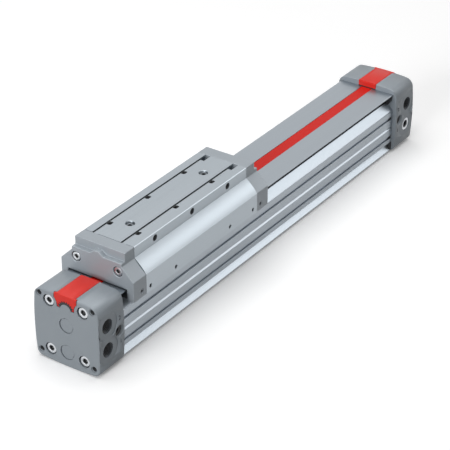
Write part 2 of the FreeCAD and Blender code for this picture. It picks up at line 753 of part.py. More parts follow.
def make_cap_screws(label, side):
    sizes = {
        "head_radius": size("screw_head_radius"),
        "head_height": size("screw_head_height"),
        "radius": "(Dims.screw_radius - Dims.thread_play)",
        "length": "(Dims.cap_length - Dims.screw_recess_depth + Dims.screw_thread)",
        "socket": size("screw_socket"),
    }
    x = "%d * (%s - Dims.screw_recess_depth + Dims.screw_head_height)" % (side, CAP_FACE)
    screws = []
    for y in ("Dims.screw_side", "-Dims.screw_side"):
        for z in ("screw_low", "screw_high"):
            name = "%s_%d" % (label, len(screws) + 1)
            screws.append(socket_screw(name, sizes, x, y, size(z), TO_LEFT if side > 0 else TO_RIGHT))
    return group(label, screws)


def make_port_plug():
    front = "(Dims.spot_plane - Dims.plug_sink)"
    solid = cylinder("port_plug_solid", "Dims.port_radius - Dims.thread_play", size("plug_length"))
    socket = hexagon("port_plug_socket", size("plug_socket"), "Dims.plug_length / 2")
    plug = subtract("port_plug", solid, socket)
    plug.Label = "port_plug"
    place(plug, "%s - Dims.port_offset" % CAP_FACE, minus(front), size("port_low"), TO_BACK)
    return plug


def make_cushion_screw(label, side):
    solid = cylinder(label + "_solid", size("cushion_screw_radius"), size("cushion_screw_length"))
    socket = hexagon(label + "_socket", "Dims.cushion_screw_radius", size("cushion_screw_radius"))
    screw = subtract(label, solid, socket)
    screw.Label = label
    y = "-(Dims.spot_plane - Dims.cushion_recess_depth + Dims.cushion_screw_proud)"
    place(screw, "%d * (%s - Dims.cushion_offset)" % (side, CAP_FACE), y, size("cushion_height"), TO_BACK)
    return screw


def ring(label, x_start, width, outer, inner, side=1):
    """A ring around the bore's centre line, from x_start outwards along the given side."""
    body = new_body(label)
    place(body, "%d * (%s)" % (side, x_start), "0", size("bore_height"))
    section = new_sketch(body, label + "_section", "YZ_Plane")
    circle(section, "0", "0", outer)
    circle(section, "0", "0", inner)
    pad(body, section, width, reverse=side < 0)
    return body


def make_cap_seal(label, side):
    return ring(label, "%s - Dims.seal_width" % BARREL_END, size("seal_width"), size("bore_radius"),
                size("seal_inner_radius"), side)


def make_cushion_nose(label, side):
    start = "%s - Dims.spigot_length - Dims.nose_length" % BARREL_END
    length = "Dims.nose_length + Dims.nose_hole_depth"
    return ring(label, start, length, size("nose_radius"), size("nose_bore"), side)


def make_band_clamp(label, side):
    body = new_body(label)
    place(body, "%d * %s" % (side, BARREL_END))
    section = new_sketch(body, label + "_section", "YZ_Plane")
    half = size("clamp_half_width")
    rectangle(section, minus(half), half, size("inner_seat_height"), BAND_FLOOR)
    pad(body, section, "Dims.band_reach - Dims.clamp_play", reverse=side < 0)
    return body


def make_clamp_screws():
    screws = []
    for side in (-1, 1):
        name = "band_clamp_screw_%d" % (len(screws) + 1)
        bottom = "(%s + Dims.outer_band_thickness)" % BAND_FLOOR
        length = "(Dims.cover_floor - %s)" % bottom
        x = "%d * (%s + Dims.band_reach / 2)" % (side, BARREL_END)
        radius = "Dims.clamp_screw_radius - Dims.thread_play"
        screws.append(grub_screw(name, radius, length, x, "0", size("cover_floor"), DOWN))
    return group("band_clamp_screws", screws)


# Bands and magnet strips, drawn as side views and padded across


def side_plate(label, points, half_width, x="0"):
    body = new_body(label)
    place(body, x)
    section = new_sketch(body, label + "_section", "XZ_Plane")
    outline(section, points)
    pad(body, section, "2 * %s" % half_width, symmetric=True)
    return body


def band_points(low, path, thickness):
    """A strip of one thickness over a symmetric path given from the middle outwards."""
    reach = "(%s + Dims.band_reach)"
    left = [(minus(x), z) for x, z in reversed(path)]
    ends_left = ("-(%s + Dims.band_reach) - %s" % (BARREL_END, CARRIAGE_X), low)
    ends_right = (reach % BARREL_END + " - %s" % CARRIAGE_X, low)
    lower = [ends_left] + left + path + [ends_right]
    upper = [(x, "%s + %s" % (z, thickness)) for x, z in reversed(lower)]
    return lower + upper


def make_outer_band():
    path = [
        (size("outer_ramp_inner"), size("outer_band_crest")),
        (size("outer_ramp_outer"), BAND_FLOOR),
    ]
    points = band_points(BAND_FLOOR, path, size("outer_band_thickness"))
    return side_plate("outer_band", points, size("outer_band_half"), CARRIAGE_X)


def make_inner_band():
    path = [
        (size("inner_ramp_inner"), size("inner_band_dip")),
        (INNER_RAMP_OUTER, "Dims.inner_seat_height - Dims.inner_band_thickness"),
    ]
    low = "Dims.inner_seat_height - Dims.inner_band_thickness"
    points = band_points(low, path, size("inner_band_thickness"))
    return side_plate("inner_band", points, size("inner_band_half"), CARRIAGE_X)


def make_magnet_strips():
    strips = []
    for side in ("", "-"):
        name = "magnet_strip_%d" % (len(strips) + 1)
        strip = doc.addObject("Part::Box", name)
        bind(strip, "Length", BARREL_LENGTH)
        bind(strip, "Width", size("magnet_width"))
        bind(strip, "Height", size("magnet_depth"))
        y = "Dims.magnet_start" if not side else "-Dims.magnet_start - Dims.magnet_width"
        place(strip, minus(BARREL_END), y, "%s - Dims.magnet_depth" % BAND_FLOOR)
        strips.append(strip)
    return group("magnet_strips", strips)


# Carriage: an extruded body between two end pieces


def carriage_half_outline():
    """The +Y half from the skirt's foot up over the flank to the plate."""
    return [
        (size("skirt_half_width"), size("skirt_bottom")),
        (size("skirt_half_width"), SKIRT_CORNER),
        (size("plate_half_width"), size("plate_side_low")),
        (size("plate_half_width"), "Dims.carriage_top - Dims.plate_edge_bevel"),
        ("Dims.plate_half_width - Dims.plate_edge_bevel", size("carriage_top")),
    ]


def make_carriage_body():
    body = new_body("carriage_body")
    place(body, CARRIAGE_X)
    cavity_half = "Dims.block_half_width + Dims.cavity_gap"
    section = new_sketch(body, "carriage_section", "YZ_Plane")
    outline(section, [
        (minus(SKIRT_INNER), size("skirt_bottom")),
        (minus(SKIRT_INNER), size("tunnel_top")),
        (minus(cavity_half), size("tunnel_top")),
        (minus(cavity_half), size("block_top")),
        (cavity_half, size("block_top")),
        (cavity_half, size("tunnel_top")),
        (SKIRT_INNER, size("tunnel_top")),
        (SKIRT_INNER, size("skirt_bottom")),
    ] + mirrored(carriage_half_outline()))
    pad(body, section, size("carriage_body_length"), symmetric=True)

    slots = new_sketch(body, "carriage_slots", "YZ_Plane")
    for side in (1, -1):
        steps = [
            ("-Dims.top_slot_half", "Dims.carriage_top + Dims.cut_over"),
            ("-Dims.top_slot_half", "Dims.carriage_top - Dims.top_slot_lip"),
            ("-Dims.top_slot_inner", "Dims.carriage_top - Dims.top_slot_lip"),
            ("-Dims.top_slot_inner", "Dims.carriage_top - Dims.top_slot_depth"),
        ]
        steps = steps + [(offset.replace("-", ""), z) for offset, z in reversed(steps)]
        outline(slots, [("%d * Dims.slot_bar_side + %s" % (side, offset), z) for offset, z in steps])
    cut(body, slots, symmetric=True)

    recess = new_sketch(body, "yoke_screw_recess", "XY_Plane", size("carriage_top"))
    hole = new_sketch(body, "yoke_screw_hole", "XY_Plane", size("carriage_top"))
    for side in ("", "-"):
        circle(recess, side + "Dims.hole_pitch", "0", size("yoke_screw_recess_radius"))
        circle(hole, side + "Dims.hole_pitch", "0", "Dims.yoke_screw_radius + Dims.screw_play")
    cut(body, recess, size("yoke_screw_recess_depth"))
    cut(body, hole, "Dims.carriage_top - Dims.tunnel_top")

    for side, suffix in ((1, "rear"), (-1, "front")):
        holes = new_sketch(body, "side_holes_" + suffix, "XZ_Plane", "%d * Dims.plate_half_width" % -side)
        for x in ("-Dims.hole_pitch", "0", "Dims.hole_pitch"):
            circle(holes, x, size("side_hole_height"), size("side_hole_radius"))
        cut(body, holes, size("side_hole_depth"), reverse=side > 0)
        grubs = new_sketch(body, "grub_holes_" + suffix, "XZ_Plane", "%d * Dims.skirt_half_width" % -side)
        for x in ("-Dims.grub_outer", "-Dims.grub_inner", "Dims.grub_inner", "Dims.grub_outer"):
            circle(grubs, x, size("grub_height"), size("grub_radius"))
        cut(body, grubs, size("skirt_wall"), reverse=side > 0)

    for side in (1, -1):
        ends = new_sketch(body, "face_threads_%s" % ("right" if side > 0 else "left"), "YZ_Plane",
                          "%d * %s" % (side, BODY_HALF))
        for mirror in ("", "-"):
            y = mirror + "Dims.face_screw_side"
            circle(ends, y, size("face_screw_height"), size("face_screw_radius"))
        cut(body, ends, "Dims.face_screw_thread + Dims.thread_runout", reverse=side < 0)
    return body


def make_slot_bars():
    """One bar with its row of threaded holes, then its twin in the other slot."""
    neck = "(Dims.top_slot_half - Dims.slot_bar_neck_play)"
    wide = "(Dims.top_slot_inner - Dims.slot_bar_play)"
    floor = "Dims.carriage_top - Dims.top_slot_depth"
    step = "Dims.carriage_top - Dims.top_slot_lip - Dims.slot_bar_play"
    top = "Dims.carriage_top - Dims.slot_bar_sink"
    bars = []
    for side in (1, -1):
        name = "slot_bar_%d" % (len(bars) + 1)
        body = new_body(name)
        place(body, "%s - %s" % (CARRIAGE_X, BODY_HALF), "%d * Dims.slot_bar_side" % side)
        section = new_sketch(body, name + "_section", "YZ_Plane")
        outline(section, mirrored([(wide, floor), (wide, step), (neck, step), (neck, top)]))
        pad(body, section, size("slot_bar_length"))
        first = new_sketch(body, name + "_hole", "XY_Plane", top)
        circle(first, size("slot_bar_first_hole"), "0", size("bar_hole_radius"))
        hole = cut(body, first)
        row = body.newObject("PartDesign::LinearPattern", name + "_holes")
        row.Originals = [hole]
        row.Direction = (first, ["H_Axis"])
        row.Mode = "Spacing"
        bind(row, "Offset", size("hole_pitch"))
        row.Occurrences = 3
        body.Tip = row
        bars.append(body)
    doc.recompute()
    return group("slot_bars", bars)


def make_carriage_cap(label, side):
    body = new_body(label)
    place(body, CARRIAGE_X)
    root = "%d * %s" % (side, BODY_HALF)
    face = "%d * %s" % (side, CARRIAGE_HALF)
    pad_out = side < 0
    cut_in = side < 0
    cut_out = side > 0
    section = new_sketch(body, label + "_section", "YZ_Plane", root)
    tunnel_half = "Dims.barrel_half_width + Dims.cap_tunnel_gap"
    outline(section, [
        (minus(tunnel_half), size("skirt_bottom")),
        (minus(tunnel_half), size("cap_tunnel_top")),
        (tunnel_half, size("cap_tunnel_top")),
        (tunnel_half, size("skirt_bottom")),
    ] + mirrored(carriage_half_outline()))
    pad(body, section, size("carriage_cap_length"), reverse=pad_out)

    step = new_sketch(body, label + "_ledge", "YZ_Plane", face)
    wide = "(Dims.skirt_half_width + Dims.cut_over)"
    outline(step, [
        (minus(wide), size("ledge_height")),
        (minus(size("bump_half_bottom")), size("ledge_height")),
        (minus(size("bump_half_top")), size("bump_height")),
        (size("bump_half_top"), size("bump_height")),
        (size("bump_half_bottom"), size("ledge_height")),
        (wide, size("ledge_height")),
        (wide, "Dims.carriage_top + Dims.cut_over"),
        (minus(wide), "Dims.carriage_top + Dims.cut_over"),
    ])
    ledge = cut(body, step, size("nose_step"), reverse=cut_in)
    bind(ledge, "TaperAngle", minus(size("ledge_draft")))
    doc.recompute()

    wiper = new_sketch(body, label + "_wiper_seat", "YZ_Plane", root)
    wiper_half = size("wiper_half_width")
    rectangle(wiper, minus(wiper_half), wiper_half, "Dims.skirt_bottom - Dims.cut_over", size("wiper_top"))
    cut(body, wiper, size("wiper_thickness"), reverse=cut_out)

    recess = new_sketch(body, label + "_screw_recess", "YZ_Plane", face)
    hole = new_sketch(body, label + "_screw_hole", "YZ_Plane", face)
    for mirror in ("", "-"):
        y = mirror + "Dims.face_screw_side"
        circle(recess, y, size("face_screw_height"), size("face_recess_radius"))
        circle(hole, y, size("face_screw_height"), "Dims.face_screw_radius + Dims.screw_play")
    cut(body, recess, size("face_recess_depth"), reverse=cut_in)
    cut(body, hole, size("carriage_cap_length"), reverse=cut_in)
    for way, suffix in ((1, "rear"), (-1, "front")):
        pocket = new_sketch(body, label + "_side_" + suffix, "XZ_Plane", "%d * Dims.skirt_half_width" % -way)
        circle(pocket, "%d * (%s - Dims.cap_side_screw_offset)" % (side, CARRIAGE_HALF),
               size("cap_side_screw_height"), "Dims.cap_side_screw_radius + Dims.thread_play")
        cut(body, pocket, "Dims.cap_side_screw_depth + Dims.cap_side_screw_sink", reverse=way > 0)
    return body


def make_face_screws(label, side):
    sizes = {
        "head_radius": size("face_head_radius"),
        "head_height": size("face_head_height"),
        "radius": "(Dims.face_screw_radius - Dims.thread_play)",
        "length": "(Dims.carriage_cap_length - Dims.face_recess_depth + Dims.face_screw_thread)",
        "socket": None,
    }
    x = "%s + %d * (%s - Dims.face_recess_depth + Dims.face_head_height)" % (CARRIAGE_X, side, CARRIAGE_HALF)
    screws = []
    for y in ("Dims.face_screw_side", "-Dims.face_screw_side"):
        name = "%s_%d" % (label, len(screws) + 1)
        way = TO_LEFT if side > 0 else TO_RIGHT
        screws.append(socket_screw(name, sizes, x, y, size("face_screw_height"), way))
    return group(label, screws)


def grub_screw(name, radius, length, x, y, z, rotation):
    """Length runs from the given place along the rotated Z axis; these small sockets aren't cut."""
    screw = cylinder(name, radius, length)
    place(screw, x, y, z, rotation)
    return screw


def make_cap_side_screws():
    screws = []
    for side in (-1, 1):
        for way in (-1, 1):
            name = "cap_side_screw_%d" % (len(screws) + 1)
            x = "%s + %d * (%s - Dims.cap_side_screw_offset)" % (CARRIAGE_X, side, CARRIAGE_HALF)
            y = "%d * (Dims.skirt_half_width - Dims.cap_side_screw_sink)" % way
            turn = TO_BACK if way < 0 else TO_FRONT
            screws.append(grub_screw(name, size("cap_side_screw_radius"), size("cap_side_screw_depth"), x, y,
                                     size("cap_side_screw_height"), turn))
    return group("cap_side_screws", screws)


def make_guide_set_screws():
    screws = []
    for offset in ("-Dims.grub_outer", "-Dims.grub_inner", "Dims.grub_inner", "Dims.grub_outer"):
        for way in (-1, 1):
            name = "guide_set_screw_%d" % (len(screws) + 1)
            y = "%d * (Dims.skirt_half_width - Dims.grub_sink)" % way
            turn = TO_BACK if way < 0 else TO_FRONT
            radius = "Dims.grub_radius - Dims.thread_play"
            x = "%s + %s" % (CARRIAGE_X, offset)
            length = "(Dims.skirt_wall - Dims.grub_sink)"
            screws.append(grub_screw(name, radius, length, x, y, size("grub_height"), turn))
    return group("guide_set_screws", screws)


def make_wiper(label, side):
    body = new_body(label)
    place(body, "%s + %d * %s" % (CARRIAGE_X, side, BODY_HALF))
    section = new_sketch(body, label + "_section", "YZ_Plane")
    vee = "(%s + 2 * Dims.wiper_gap)" % VEE_DEPTH_Y
    lip = "(Dims.lip_half_width + Dims.wiper_gap)"
    half = [
        (lip, "Dims.barrel_height + Dims.wiper_gap"),
        (lip, LIP_UNDER + " - Dims.wiper_gap"),
        (vee, VEE_APEX_Z),
        ("%s + %s - Dims.skirt_bottom" % (vee, VEE_APEX_Z), size("skirt_bottom")),
        (size("wiper_half_width"), size("skirt_bottom")),
        (size("wiper_half_width"), size("wiper_top")),
    ]
    outline(section, half + [(minus(y), z) for y, z in reversed(half)])
    pad(body, section, size("wiper_thickness"), reverse=side < 0)
    return body


def make_yoke_screws():
    seat = "Dims.carriage_top - Dims.yoke_screw_recess_depth"
    sizes = {
        "head_radius": size("yoke_screw_head_radius"),
        "head_height": size("yoke_screw_head_height"),
        "radius": "(Dims.yoke_screw_radius - Dims.thread_play)",
        "length": "(%s - Dims.block_top + Dims.yoke_screw_thread)" % seat,
        "socket": None,
    }
    top = seat + " + Dims.yoke_screw_head_height"
    screws = []
    for side in (-1, 1):
        name = "yoke_screw_%d" % (len(screws) + 1)
        x = "%s + %d * Dims.hole_pitch" % (CARRIAGE_X, side)
        screws.append(socket_screw(name, sizes, x, "0", top, DOWN))
    return group("yoke_screws", screws)


def make_guide_shoe(label, way):
    """A plastic strip hooked under the dovetail; way is 1 for the +Y side."""
    body = new_body(label)
    place(body, CARRIAGE_X)
    lip = "(Dims.lip_half_width + Dims.shoe_gap)"
    hook_top = "(%s - Dims.shoe_gap)" % LIP_UNDER
    hook_low = "(%s - %s + Dims.shoe_hook)" % (hook_top, lip)
    foot = "(Dims.skirt_bottom + 2 * Dims.shoe_gap)"
    points = [
        (size("shoe_inner"), "Dims.barrel_height + Dims.shoe_gap"),
        (lip, "Dims.barrel_height + Dims.shoe_gap"),
        (lip, hook_top),
        (size("shoe_hook"), hook_low),
        (size("shoe_hook"), foot),
        (SKIRT_INNER, foot),
        (SKIRT_INNER, size("tunnel_top")),
        (size("shoe_inner"), size("tunnel_top")),
    ]
    points = [("%d * %s" % (way, y), z) for y, z in points]
    section = new_sketch(body, label + "_section", "YZ_Plane")
    outline(section, list(reversed(points)) if way > 0 else points)
    pad(body, section, "Dims.carriage_body_length - 2 * Dims.stub_gap", symmetric=True)
    return body


# Yoke and pistons, which the carriage carries through the slot


def make_yoke():
    body = new_body("piston_yoke")
    place(body, CARRIAGE_X)
    rod = new_sketch(body, "yoke_rod", "YZ_Plane")
    circle(rod, "0", size("bore_height"), size("yoke_radius"))
    pad(body, rod, "2 * " + YOKE_HALF, symmetric=True)
    web = new_sketch(body, "yoke_web", "XZ_Plane")
    half = size("web_half_length")
    rectangle(web, minus(half), half, size("bore_height"), size("block_bottom"))
    pad(body, web, "2 * Dims.web_half_width", symmetric=True)
    block = new_sketch(body, "yoke_block", "XZ_Plane")
    half = size("block_half_length")
    rectangle(block, minus(half), half, size("block_bottom"), size("block_top"))
    pad(body, block, "2 * Dims.block_half_width", symmetric=True)

    lower = new_sketch(body, "inner_band_channel", "XZ_Plane")
    half = [
        ("Dims.inner_ramp_inner + Dims.ramp_lead", size("channel_floor")),
        (INNER_RAMP_OUTER, YOKE_TOP),
        (INNER_RAMP_OUTER, "Dims.inner_seat_height + Dims.channel_clear"),
        ("Dims.web_half_length + Dims.ramp_lead", "Dims.inner_seat_height + Dims.channel_clear"),
        ("Dims.web_half_length + Dims.ramp_lead", "Dims.inner_seat_height - Dims.inner_band_thickness"),
        ("Dims.inner_ramp_inner - Dims.roof_lead", size("channel_roof")),
    ]
    outline(lower, half + [(minus(x), z) for x, z in reversed(half)])
    cut(body, lower, "2 * Dims.channel_half_width", symmetric=True)

    upper = new_sketch(body, "outer_band_channel", "XZ_Plane")
    half = [
        (size("upper_floor_half"), size("upper_floor")),
        (size("upper_floor_half"), "Dims.block_bottom - Dims.cut_over"),
        ("Dims.block_half_length + Dims.cut_over", "Dims.block_bottom - Dims.cut_over"),
        ("Dims.block_half_length + Dims.cut_over", size("upper_roof")),
    ]
    outline(upper, half + [(minus(x), z) for x, z in reversed(half)])
    cut(body, upper, "2 * Dims.channel_half_width", symmetric=True)

    threads = new_sketch(body, "yoke_threads", "XY_Plane", size("block_top"))
    for side in ("", "-"):
        circle(threads, side + "Dims.hole_pitch", "0", size("yoke_screw_radius"))
    cut(body, threads, "Dims.yoke_screw_thread + Dims.thread_runout")

    for side in (1, -1):
        suffix = "right" if side > 0 else "left"
        socket = new_sketch(body, "piston_socket_" + suffix, "YZ_Plane", "%d * %s" % (side, YOKE_HALF))
        circle(socket, "0", size("bore_height"), size("stub_radius"))
        cut(body, socket, "Dims.stub_length + Dims.stub_gap", reverse=side < 0)
        if side > 0:
            groove = new_sketch(body, "magnet_groove", "YZ_Plane", MAGNET_X)
            circle(groove, "0", size("bore_height"), "Dims.yoke_radius + Dims.cut_over")
            circle(groove, "0", size("bore_height"), size("magnet_ring_root"))
            cut(body, groove, size("magnet_ring_width"), reverse=True)
    return body


def make_piston(label, side):
    """Turned about the bore's centre line; x counts from the face that meets the yoke."""
    body = new_body(label)
    place(body, "%s + %d * %s" % (CARRIAGE_X, side, PISTON_BACK), "0", size("bore_height"))
    length = size("piston_length")
    seal_start = "(%s - Dims.piston_seal_offset)" % length
    ring_start = "(%s - Dims.wear_ring_offset)" % length
    points = [
        ("-Dims.stub_length", "0"),
        ("%s - Dims.nose_socket_depth" % length, "0"),
        ("%s - Dims.nose_socket_depth" % length, size("nose_socket_radius")),
        (length, size("nose_socket_radius")),
        (length, size("piston_radius")),
        (seal_start, size("piston_radius")),
        (seal_start, size("piston_seal_root")),
        ("%s - Dims.piston_seal_width" % seal_start, size("piston_seal_root")),
        ("%s - Dims.piston_seal_width" % seal_start, size("piston_radius")),
        (ring_start, size("piston_radius")),
        (ring_start, size("wear_ring_root")),
        ("%s - Dims.wear_ring_width" % ring_start, size("wear_ring_root")),
        ("%s - Dims.wear_ring_width" % ring_start, size("piston_radius")),
        ("0", size("piston_radius")),
        ("0", "Dims.stub_radius - Dims.running_gap"),
        ("-Dims.stub_length", "Dims.stub_radius - Dims.running_gap"),
    ]
    points = [("%d * (%s)" % (side, x), z) for x, z in points]
    section = new_sketch(body, label + "_section", "XZ_Plane")
    outline(section, points if side > 0 else list(reversed(points)))
    revolve(body, section)
    return body


def piston_ring(label, side, offset, width, outer, inner):
    """A ring in one of the piston's grooves; offset counts back from the piston's outer face."""
    start = "%d * %s + %s - (%s) - %s" % (side, CARRIAGE_X, PISTON_END, offset, width)
    return ring(label, start, width, outer, inner, side)


def make_piston_rings(suffix, side):
    piston_ring("piston_seal_" + suffix, side, size("piston_seal_offset"), size("piston_seal_width"),
                size("piston_seal_radius"), size("piston_seal_root"))
    piston_ring("wear_ring_" + suffix, side, size("wear_ring_offset"), size("wear_ring_width"),
                size("wear_ring_radius"), size("wear_ring_root"))


def make_piston_magnet():
    return ring("piston_magnet", "%s + %s" % (CARRIAGE_X, MAGNET_X), size("magnet_ring_width"),
                "Dims.yoke_radius - Dims.running_gap", size("magnet_ring_root"))


def make_lower_band_guide():
    """Lies in the yoke's channel under the inner band and carries it down its two ramps."""
    run = "(%s - Dims.inner_ramp_inner - Dims.ramp_lead)" % INNER_RAMP_OUTER
    slope = "((%s - Dims.channel_floor) / %s)" % (YOKE_TOP, run)
    end = "(%s - Dims.band_guide_end)" % INNER_RAMP_OUTER
    end_height = "(Dims.channel_floor + %s * (%s - Dims.inner_ramp_inner - Dims.ramp_lead))" % (slope, end)
    half = [
        ("Dims.inner_ramp_inner + Dims.ramp_lead", size("channel_floor")),
        (end, end_height),
        (end, end_height + " + Dims.band_guide_thickness"),
        ("Dims.inner_ramp_inner + Dims.ramp_lead", "Dims.channel_floor + Dims.band_guide_thickness"),
    ]
    lower = [(minus(x), z) for x, z in reversed(half[:2])] + half[:2]
    upper = half[2:] + [(minus(x), z) for x, z in reversed(half[2:])]
    half_width = "(Dims.channel_half_width - Dims.running_gap)"
    return side_plate("band_guide_lower", lower + upper, half_width, CARRIAGE_X)


def make_upper_band_guide():
    """Two pieces behind the yoke's block that press the outer band back into its seat."""
    run = "(Dims.outer_ramp_outer - Dims.outer_ramp_inner)"
    drop = "(Dims.outer_band_crest - %s)" % BAND_FLOOR
    start = size("block_half_length")
    start_height = "(%s + %s * (Dims.outer_ramp_outer - %s) / %s)" % (BAND_FLOOR, drop, start, run)
    above = "Dims.outer_band_thickness + Dims.band_guide_gap"
    end = "(Dims.outer_ramp_outer + Dims.band_guide_over)"
    pieces = []
    for side in (1, -1):
        points = [
            (start, "%s + %s" % (start_height, above)),
            (size("outer_ramp_outer"), "%s + %s" % (BAND_FLOOR, above)),
            (end, "%s + %s" % (BAND_FLOOR, above)),
            (end, size("upper_roof")),
            (start, "Dims.block_top - Dims.clamp_play"),
        ]
        points = [("%d * (%s)" % (side, x), z) for x, z in points]
        name = "band_guide_upper_%d" % (len(pieces) + 1)
        pieces.append(side_plate(name, points if side > 0 else list(reversed(points)),
                                 "(Dims.channel_half_width + Dims.band_guide_over)", CARRIAGE_X))
    return group("band_guide_upper", pieces)


def check_and_write(nodes):
    doc.recompute()
    for item in doc.Objects:
        if "Invalid" in item.State or "Error" in item.State:
            raise RuntimeError(item.Name + " failed")
    shapes = {}
    for node in nodes:
        found = doc.getObjectsByLabel(node)
        if len(found) != 1:
            raise RuntimeError("%d objects are named %s" % (len(found), node))
        shape = found[0].Shape
        if shape.isNull() or not shape.isValid() or not shape.Solids:
            raise RuntimeError(node + " has no sound solid")
        shapes[node] = shape
    os.makedirs("parts", exist_ok=True)
    for node, shape in shapes.items():
        shape.exportStep("parts/%s.step" % node)
        print("%-26s %2d solids %9.0f mm3" % (node, len(shape.Solids), shape.Volume))


nodes = [
    "barrel_profile", "carriage_body", "port_plug", "outer_band", "inner_band", "magnet_strips", "slot_bars"]
make_barrel()
make_carriage_body()
make_port_plug()
make_outer_band()
make_inner_band()
make_magnet_strips()
make_slot_bars()
for suffix, side in (("left", -1), ("right", 1)):
    make_end_cap("end_cap_" + suffix, side)
    make_cover("band_cover_" + suffix, side)
    make_cap_screws("end_cap_screws_" + suffix, side)
    make_cushion_screw("cushion_screw_" + suffix, side)
    make_cap_seal("cap_seal_" + suffix, side)
    make_cushion_nose("cushion_nose_" + suffix, side)
    make_band_clamp("band_clamp_" + suffix, side)
    make_carriage_cap("carriage_cap_" + suffix, side)
    make_face_screws("carriage_cap_screws_" + suffix, side)
    make_wiper("wiper_" + suffix, side)
    make_piston("piston_" + suffix, side)
    make_piston_rings(suffix, side)
    nodes += [part + "_" + suffix for part in (
        "end_cap", "band_cover", "end_cap_screws", "cushion_screw", "cap_seal", "cushion_nose", "band_clamp",
        "carriage_cap", "carriage_cap_screws", "wiper", "piston", "piston_seal", "wear_ring")]
make_clamp_screws()
make_cap_side_screws()
make_guide_set_screws()
make_yoke_screws()
make_guide_shoe("guide_shoe_front", -1)
make_guide_shoe("guide_shoe_rear", 1)
make_yoke()
make_piston_magnet()
make_lower_band_guide()
make_upper_band_guide()
nodes += ["band_clamp_screws", "cap_side_screws", "guide_set_screws", "yoke_screws", "guide_shoe_front",
          "guide_shoe_rear", "piston_yoke", "piston_magnet", "band_guide_lower", "band_guide_upper"]
check_and_write(nodes)
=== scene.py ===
import json
import math

import bmesh
import bpy
from mathutils import Matrix, Vector


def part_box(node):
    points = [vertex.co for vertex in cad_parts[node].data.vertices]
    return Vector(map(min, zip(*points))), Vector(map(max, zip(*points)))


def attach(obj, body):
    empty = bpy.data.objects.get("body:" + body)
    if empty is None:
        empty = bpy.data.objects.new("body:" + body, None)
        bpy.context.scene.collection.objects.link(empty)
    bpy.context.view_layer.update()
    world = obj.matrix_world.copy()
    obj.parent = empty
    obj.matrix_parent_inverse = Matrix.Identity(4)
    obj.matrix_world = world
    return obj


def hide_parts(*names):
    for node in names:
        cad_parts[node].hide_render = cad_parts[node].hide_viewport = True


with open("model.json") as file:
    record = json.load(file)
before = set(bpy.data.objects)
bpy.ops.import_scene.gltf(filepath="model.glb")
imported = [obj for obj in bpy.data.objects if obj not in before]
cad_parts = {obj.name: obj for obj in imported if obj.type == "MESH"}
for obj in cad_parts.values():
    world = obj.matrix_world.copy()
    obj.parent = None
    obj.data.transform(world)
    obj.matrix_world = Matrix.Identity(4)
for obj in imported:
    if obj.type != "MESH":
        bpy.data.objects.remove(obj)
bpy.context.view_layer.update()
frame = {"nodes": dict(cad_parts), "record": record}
nodes = frame["nodes"]
bodyOf = {node: body for body, members in frame["record"]["behaviour"]["bodies"].items() for node in members}
slotOf = {part["node"]: part["material_slot"] for part in frame["record"]["subparts"]}
mm = 0.001    # lengths in the settings are in mm, where they don't say otherwise


def linked(name, data):
    item = bpy.data.objects.new(name, data)
    bpy.context.scene.collection.objects.link(item)
    return item


# Camera: the photograph's viewing angle, a long lens from the near left and above

camera = {
    "place": (-1.0985, -0.7355, 0.7860),    # in m
    "azimuth": -55.6148,      # degrees, of the image's right-hand direction
    "elevation": 30.3848,
    "roll": 0.0952,
    "focal": 1887.68 / 450,   # in widths of the image
    "sensor": 36.0,
    "farthest": 20,           # in m
}


def makeCamera(settings):
    azimuth = math.radians(settings["azimuth"])
    elevation = math.radians(settings["elevation"])
    roll = math.radians(settings["roll"])
    back = Vector((math.sin(azimuth) * math.cos(elevation), -math.cos(azimuth) * math.cos(elevation),
                   math.sin(elevation)))
    level = Vector((math.cos(azimuth), math.sin(azimuth), 0))
    upright = back.cross(level)
    right = math.cos(roll) * level + math.sin(roll) * upright
    up = math.cos(roll) * upright - math.sin(roll) * level
    data = bpy.data.cameras.new("camera")
    data.sensor_width = settings["sensor"]
    data.lens = settings["focal"] * settings["sensor"]
    data.clip_end = settings["farthest"]
    item = linked("camera", data)
    turn = Matrix((right, up, back)).transposed().to_4x4()
    item.matrix_world = Matrix.Translation(settings["place"]) @ turn
    bpy.context.scene.camera = item


makeCamera(camera)
print("camera placed")

# Materials


def linear(hexColor):    # sRGB hex to linear
    values = [int(hexColor[i:i + 2], 16) / 255 for i in (1, 3, 5)]
    return [v / 12.92 if v <= 0.04045 else ((v + 0.055) / 1.055) ** 2.4 for v in values] + [1.0]


# Near-black used as painted shade in creases, gaps and deep holes
paintedShadeColour = linear("#202327")
white = linear("#ffffff")


def addNode(tree, kind, settings=None, links=None):
    node = tree.nodes.new(kind)
    for name, value in (settings or {}).items():
        if isinstance(name, int) or name in node.inputs:
            node.inputs[name].default_value = value
        else:
            setattr(node, name, value)
    for name, source in (links or {}).items():
        tree.links.new(source, node.inputs[name])
    return node


def newMaterial(name, shader):
    material = bpy.data.materials.new(name)
    material.use_nodes = True
    tree = material.node_tree
    tree.nodes.clear()
    surface = addNode(tree, "ShaderNodeBsdfPrincipled", shader)
    addNode(tree, "ShaderNodeOutputMaterial", {}, {"Surface": surface.outputs[0]})
    place = addNode(tree, "ShaderNodeTexCoord").outputs["Object"]
    return material, tree, surface, place


def feed(tree, socket, value):    # the value is a number, a colour or another node's output
    if isinstance(value, bpy.types.NodeSocket):
        tree.links.new(value, socket)
    else:
        socket.default_value = value


def maths(tree, operation, first, second):
    node = addNode(tree, "ShaderNodeMath", {"operation": operation})
    for index, value in ((0, first), (1, second)):
        feed(tree, node.inputs[index], value)
    return node.outputs[0]


def mixed(tree, amount, first, second):    # the first colour where the amount is 0, the second where it is 1
    node = addNode(tree, "ShaderNodeMix", {"data_type": "RGBA"})
    for index, value in ((0, amount), (6, first), (7, second)):
        feed(tree, node.inputs[index], value)
    return node.outputs[2]


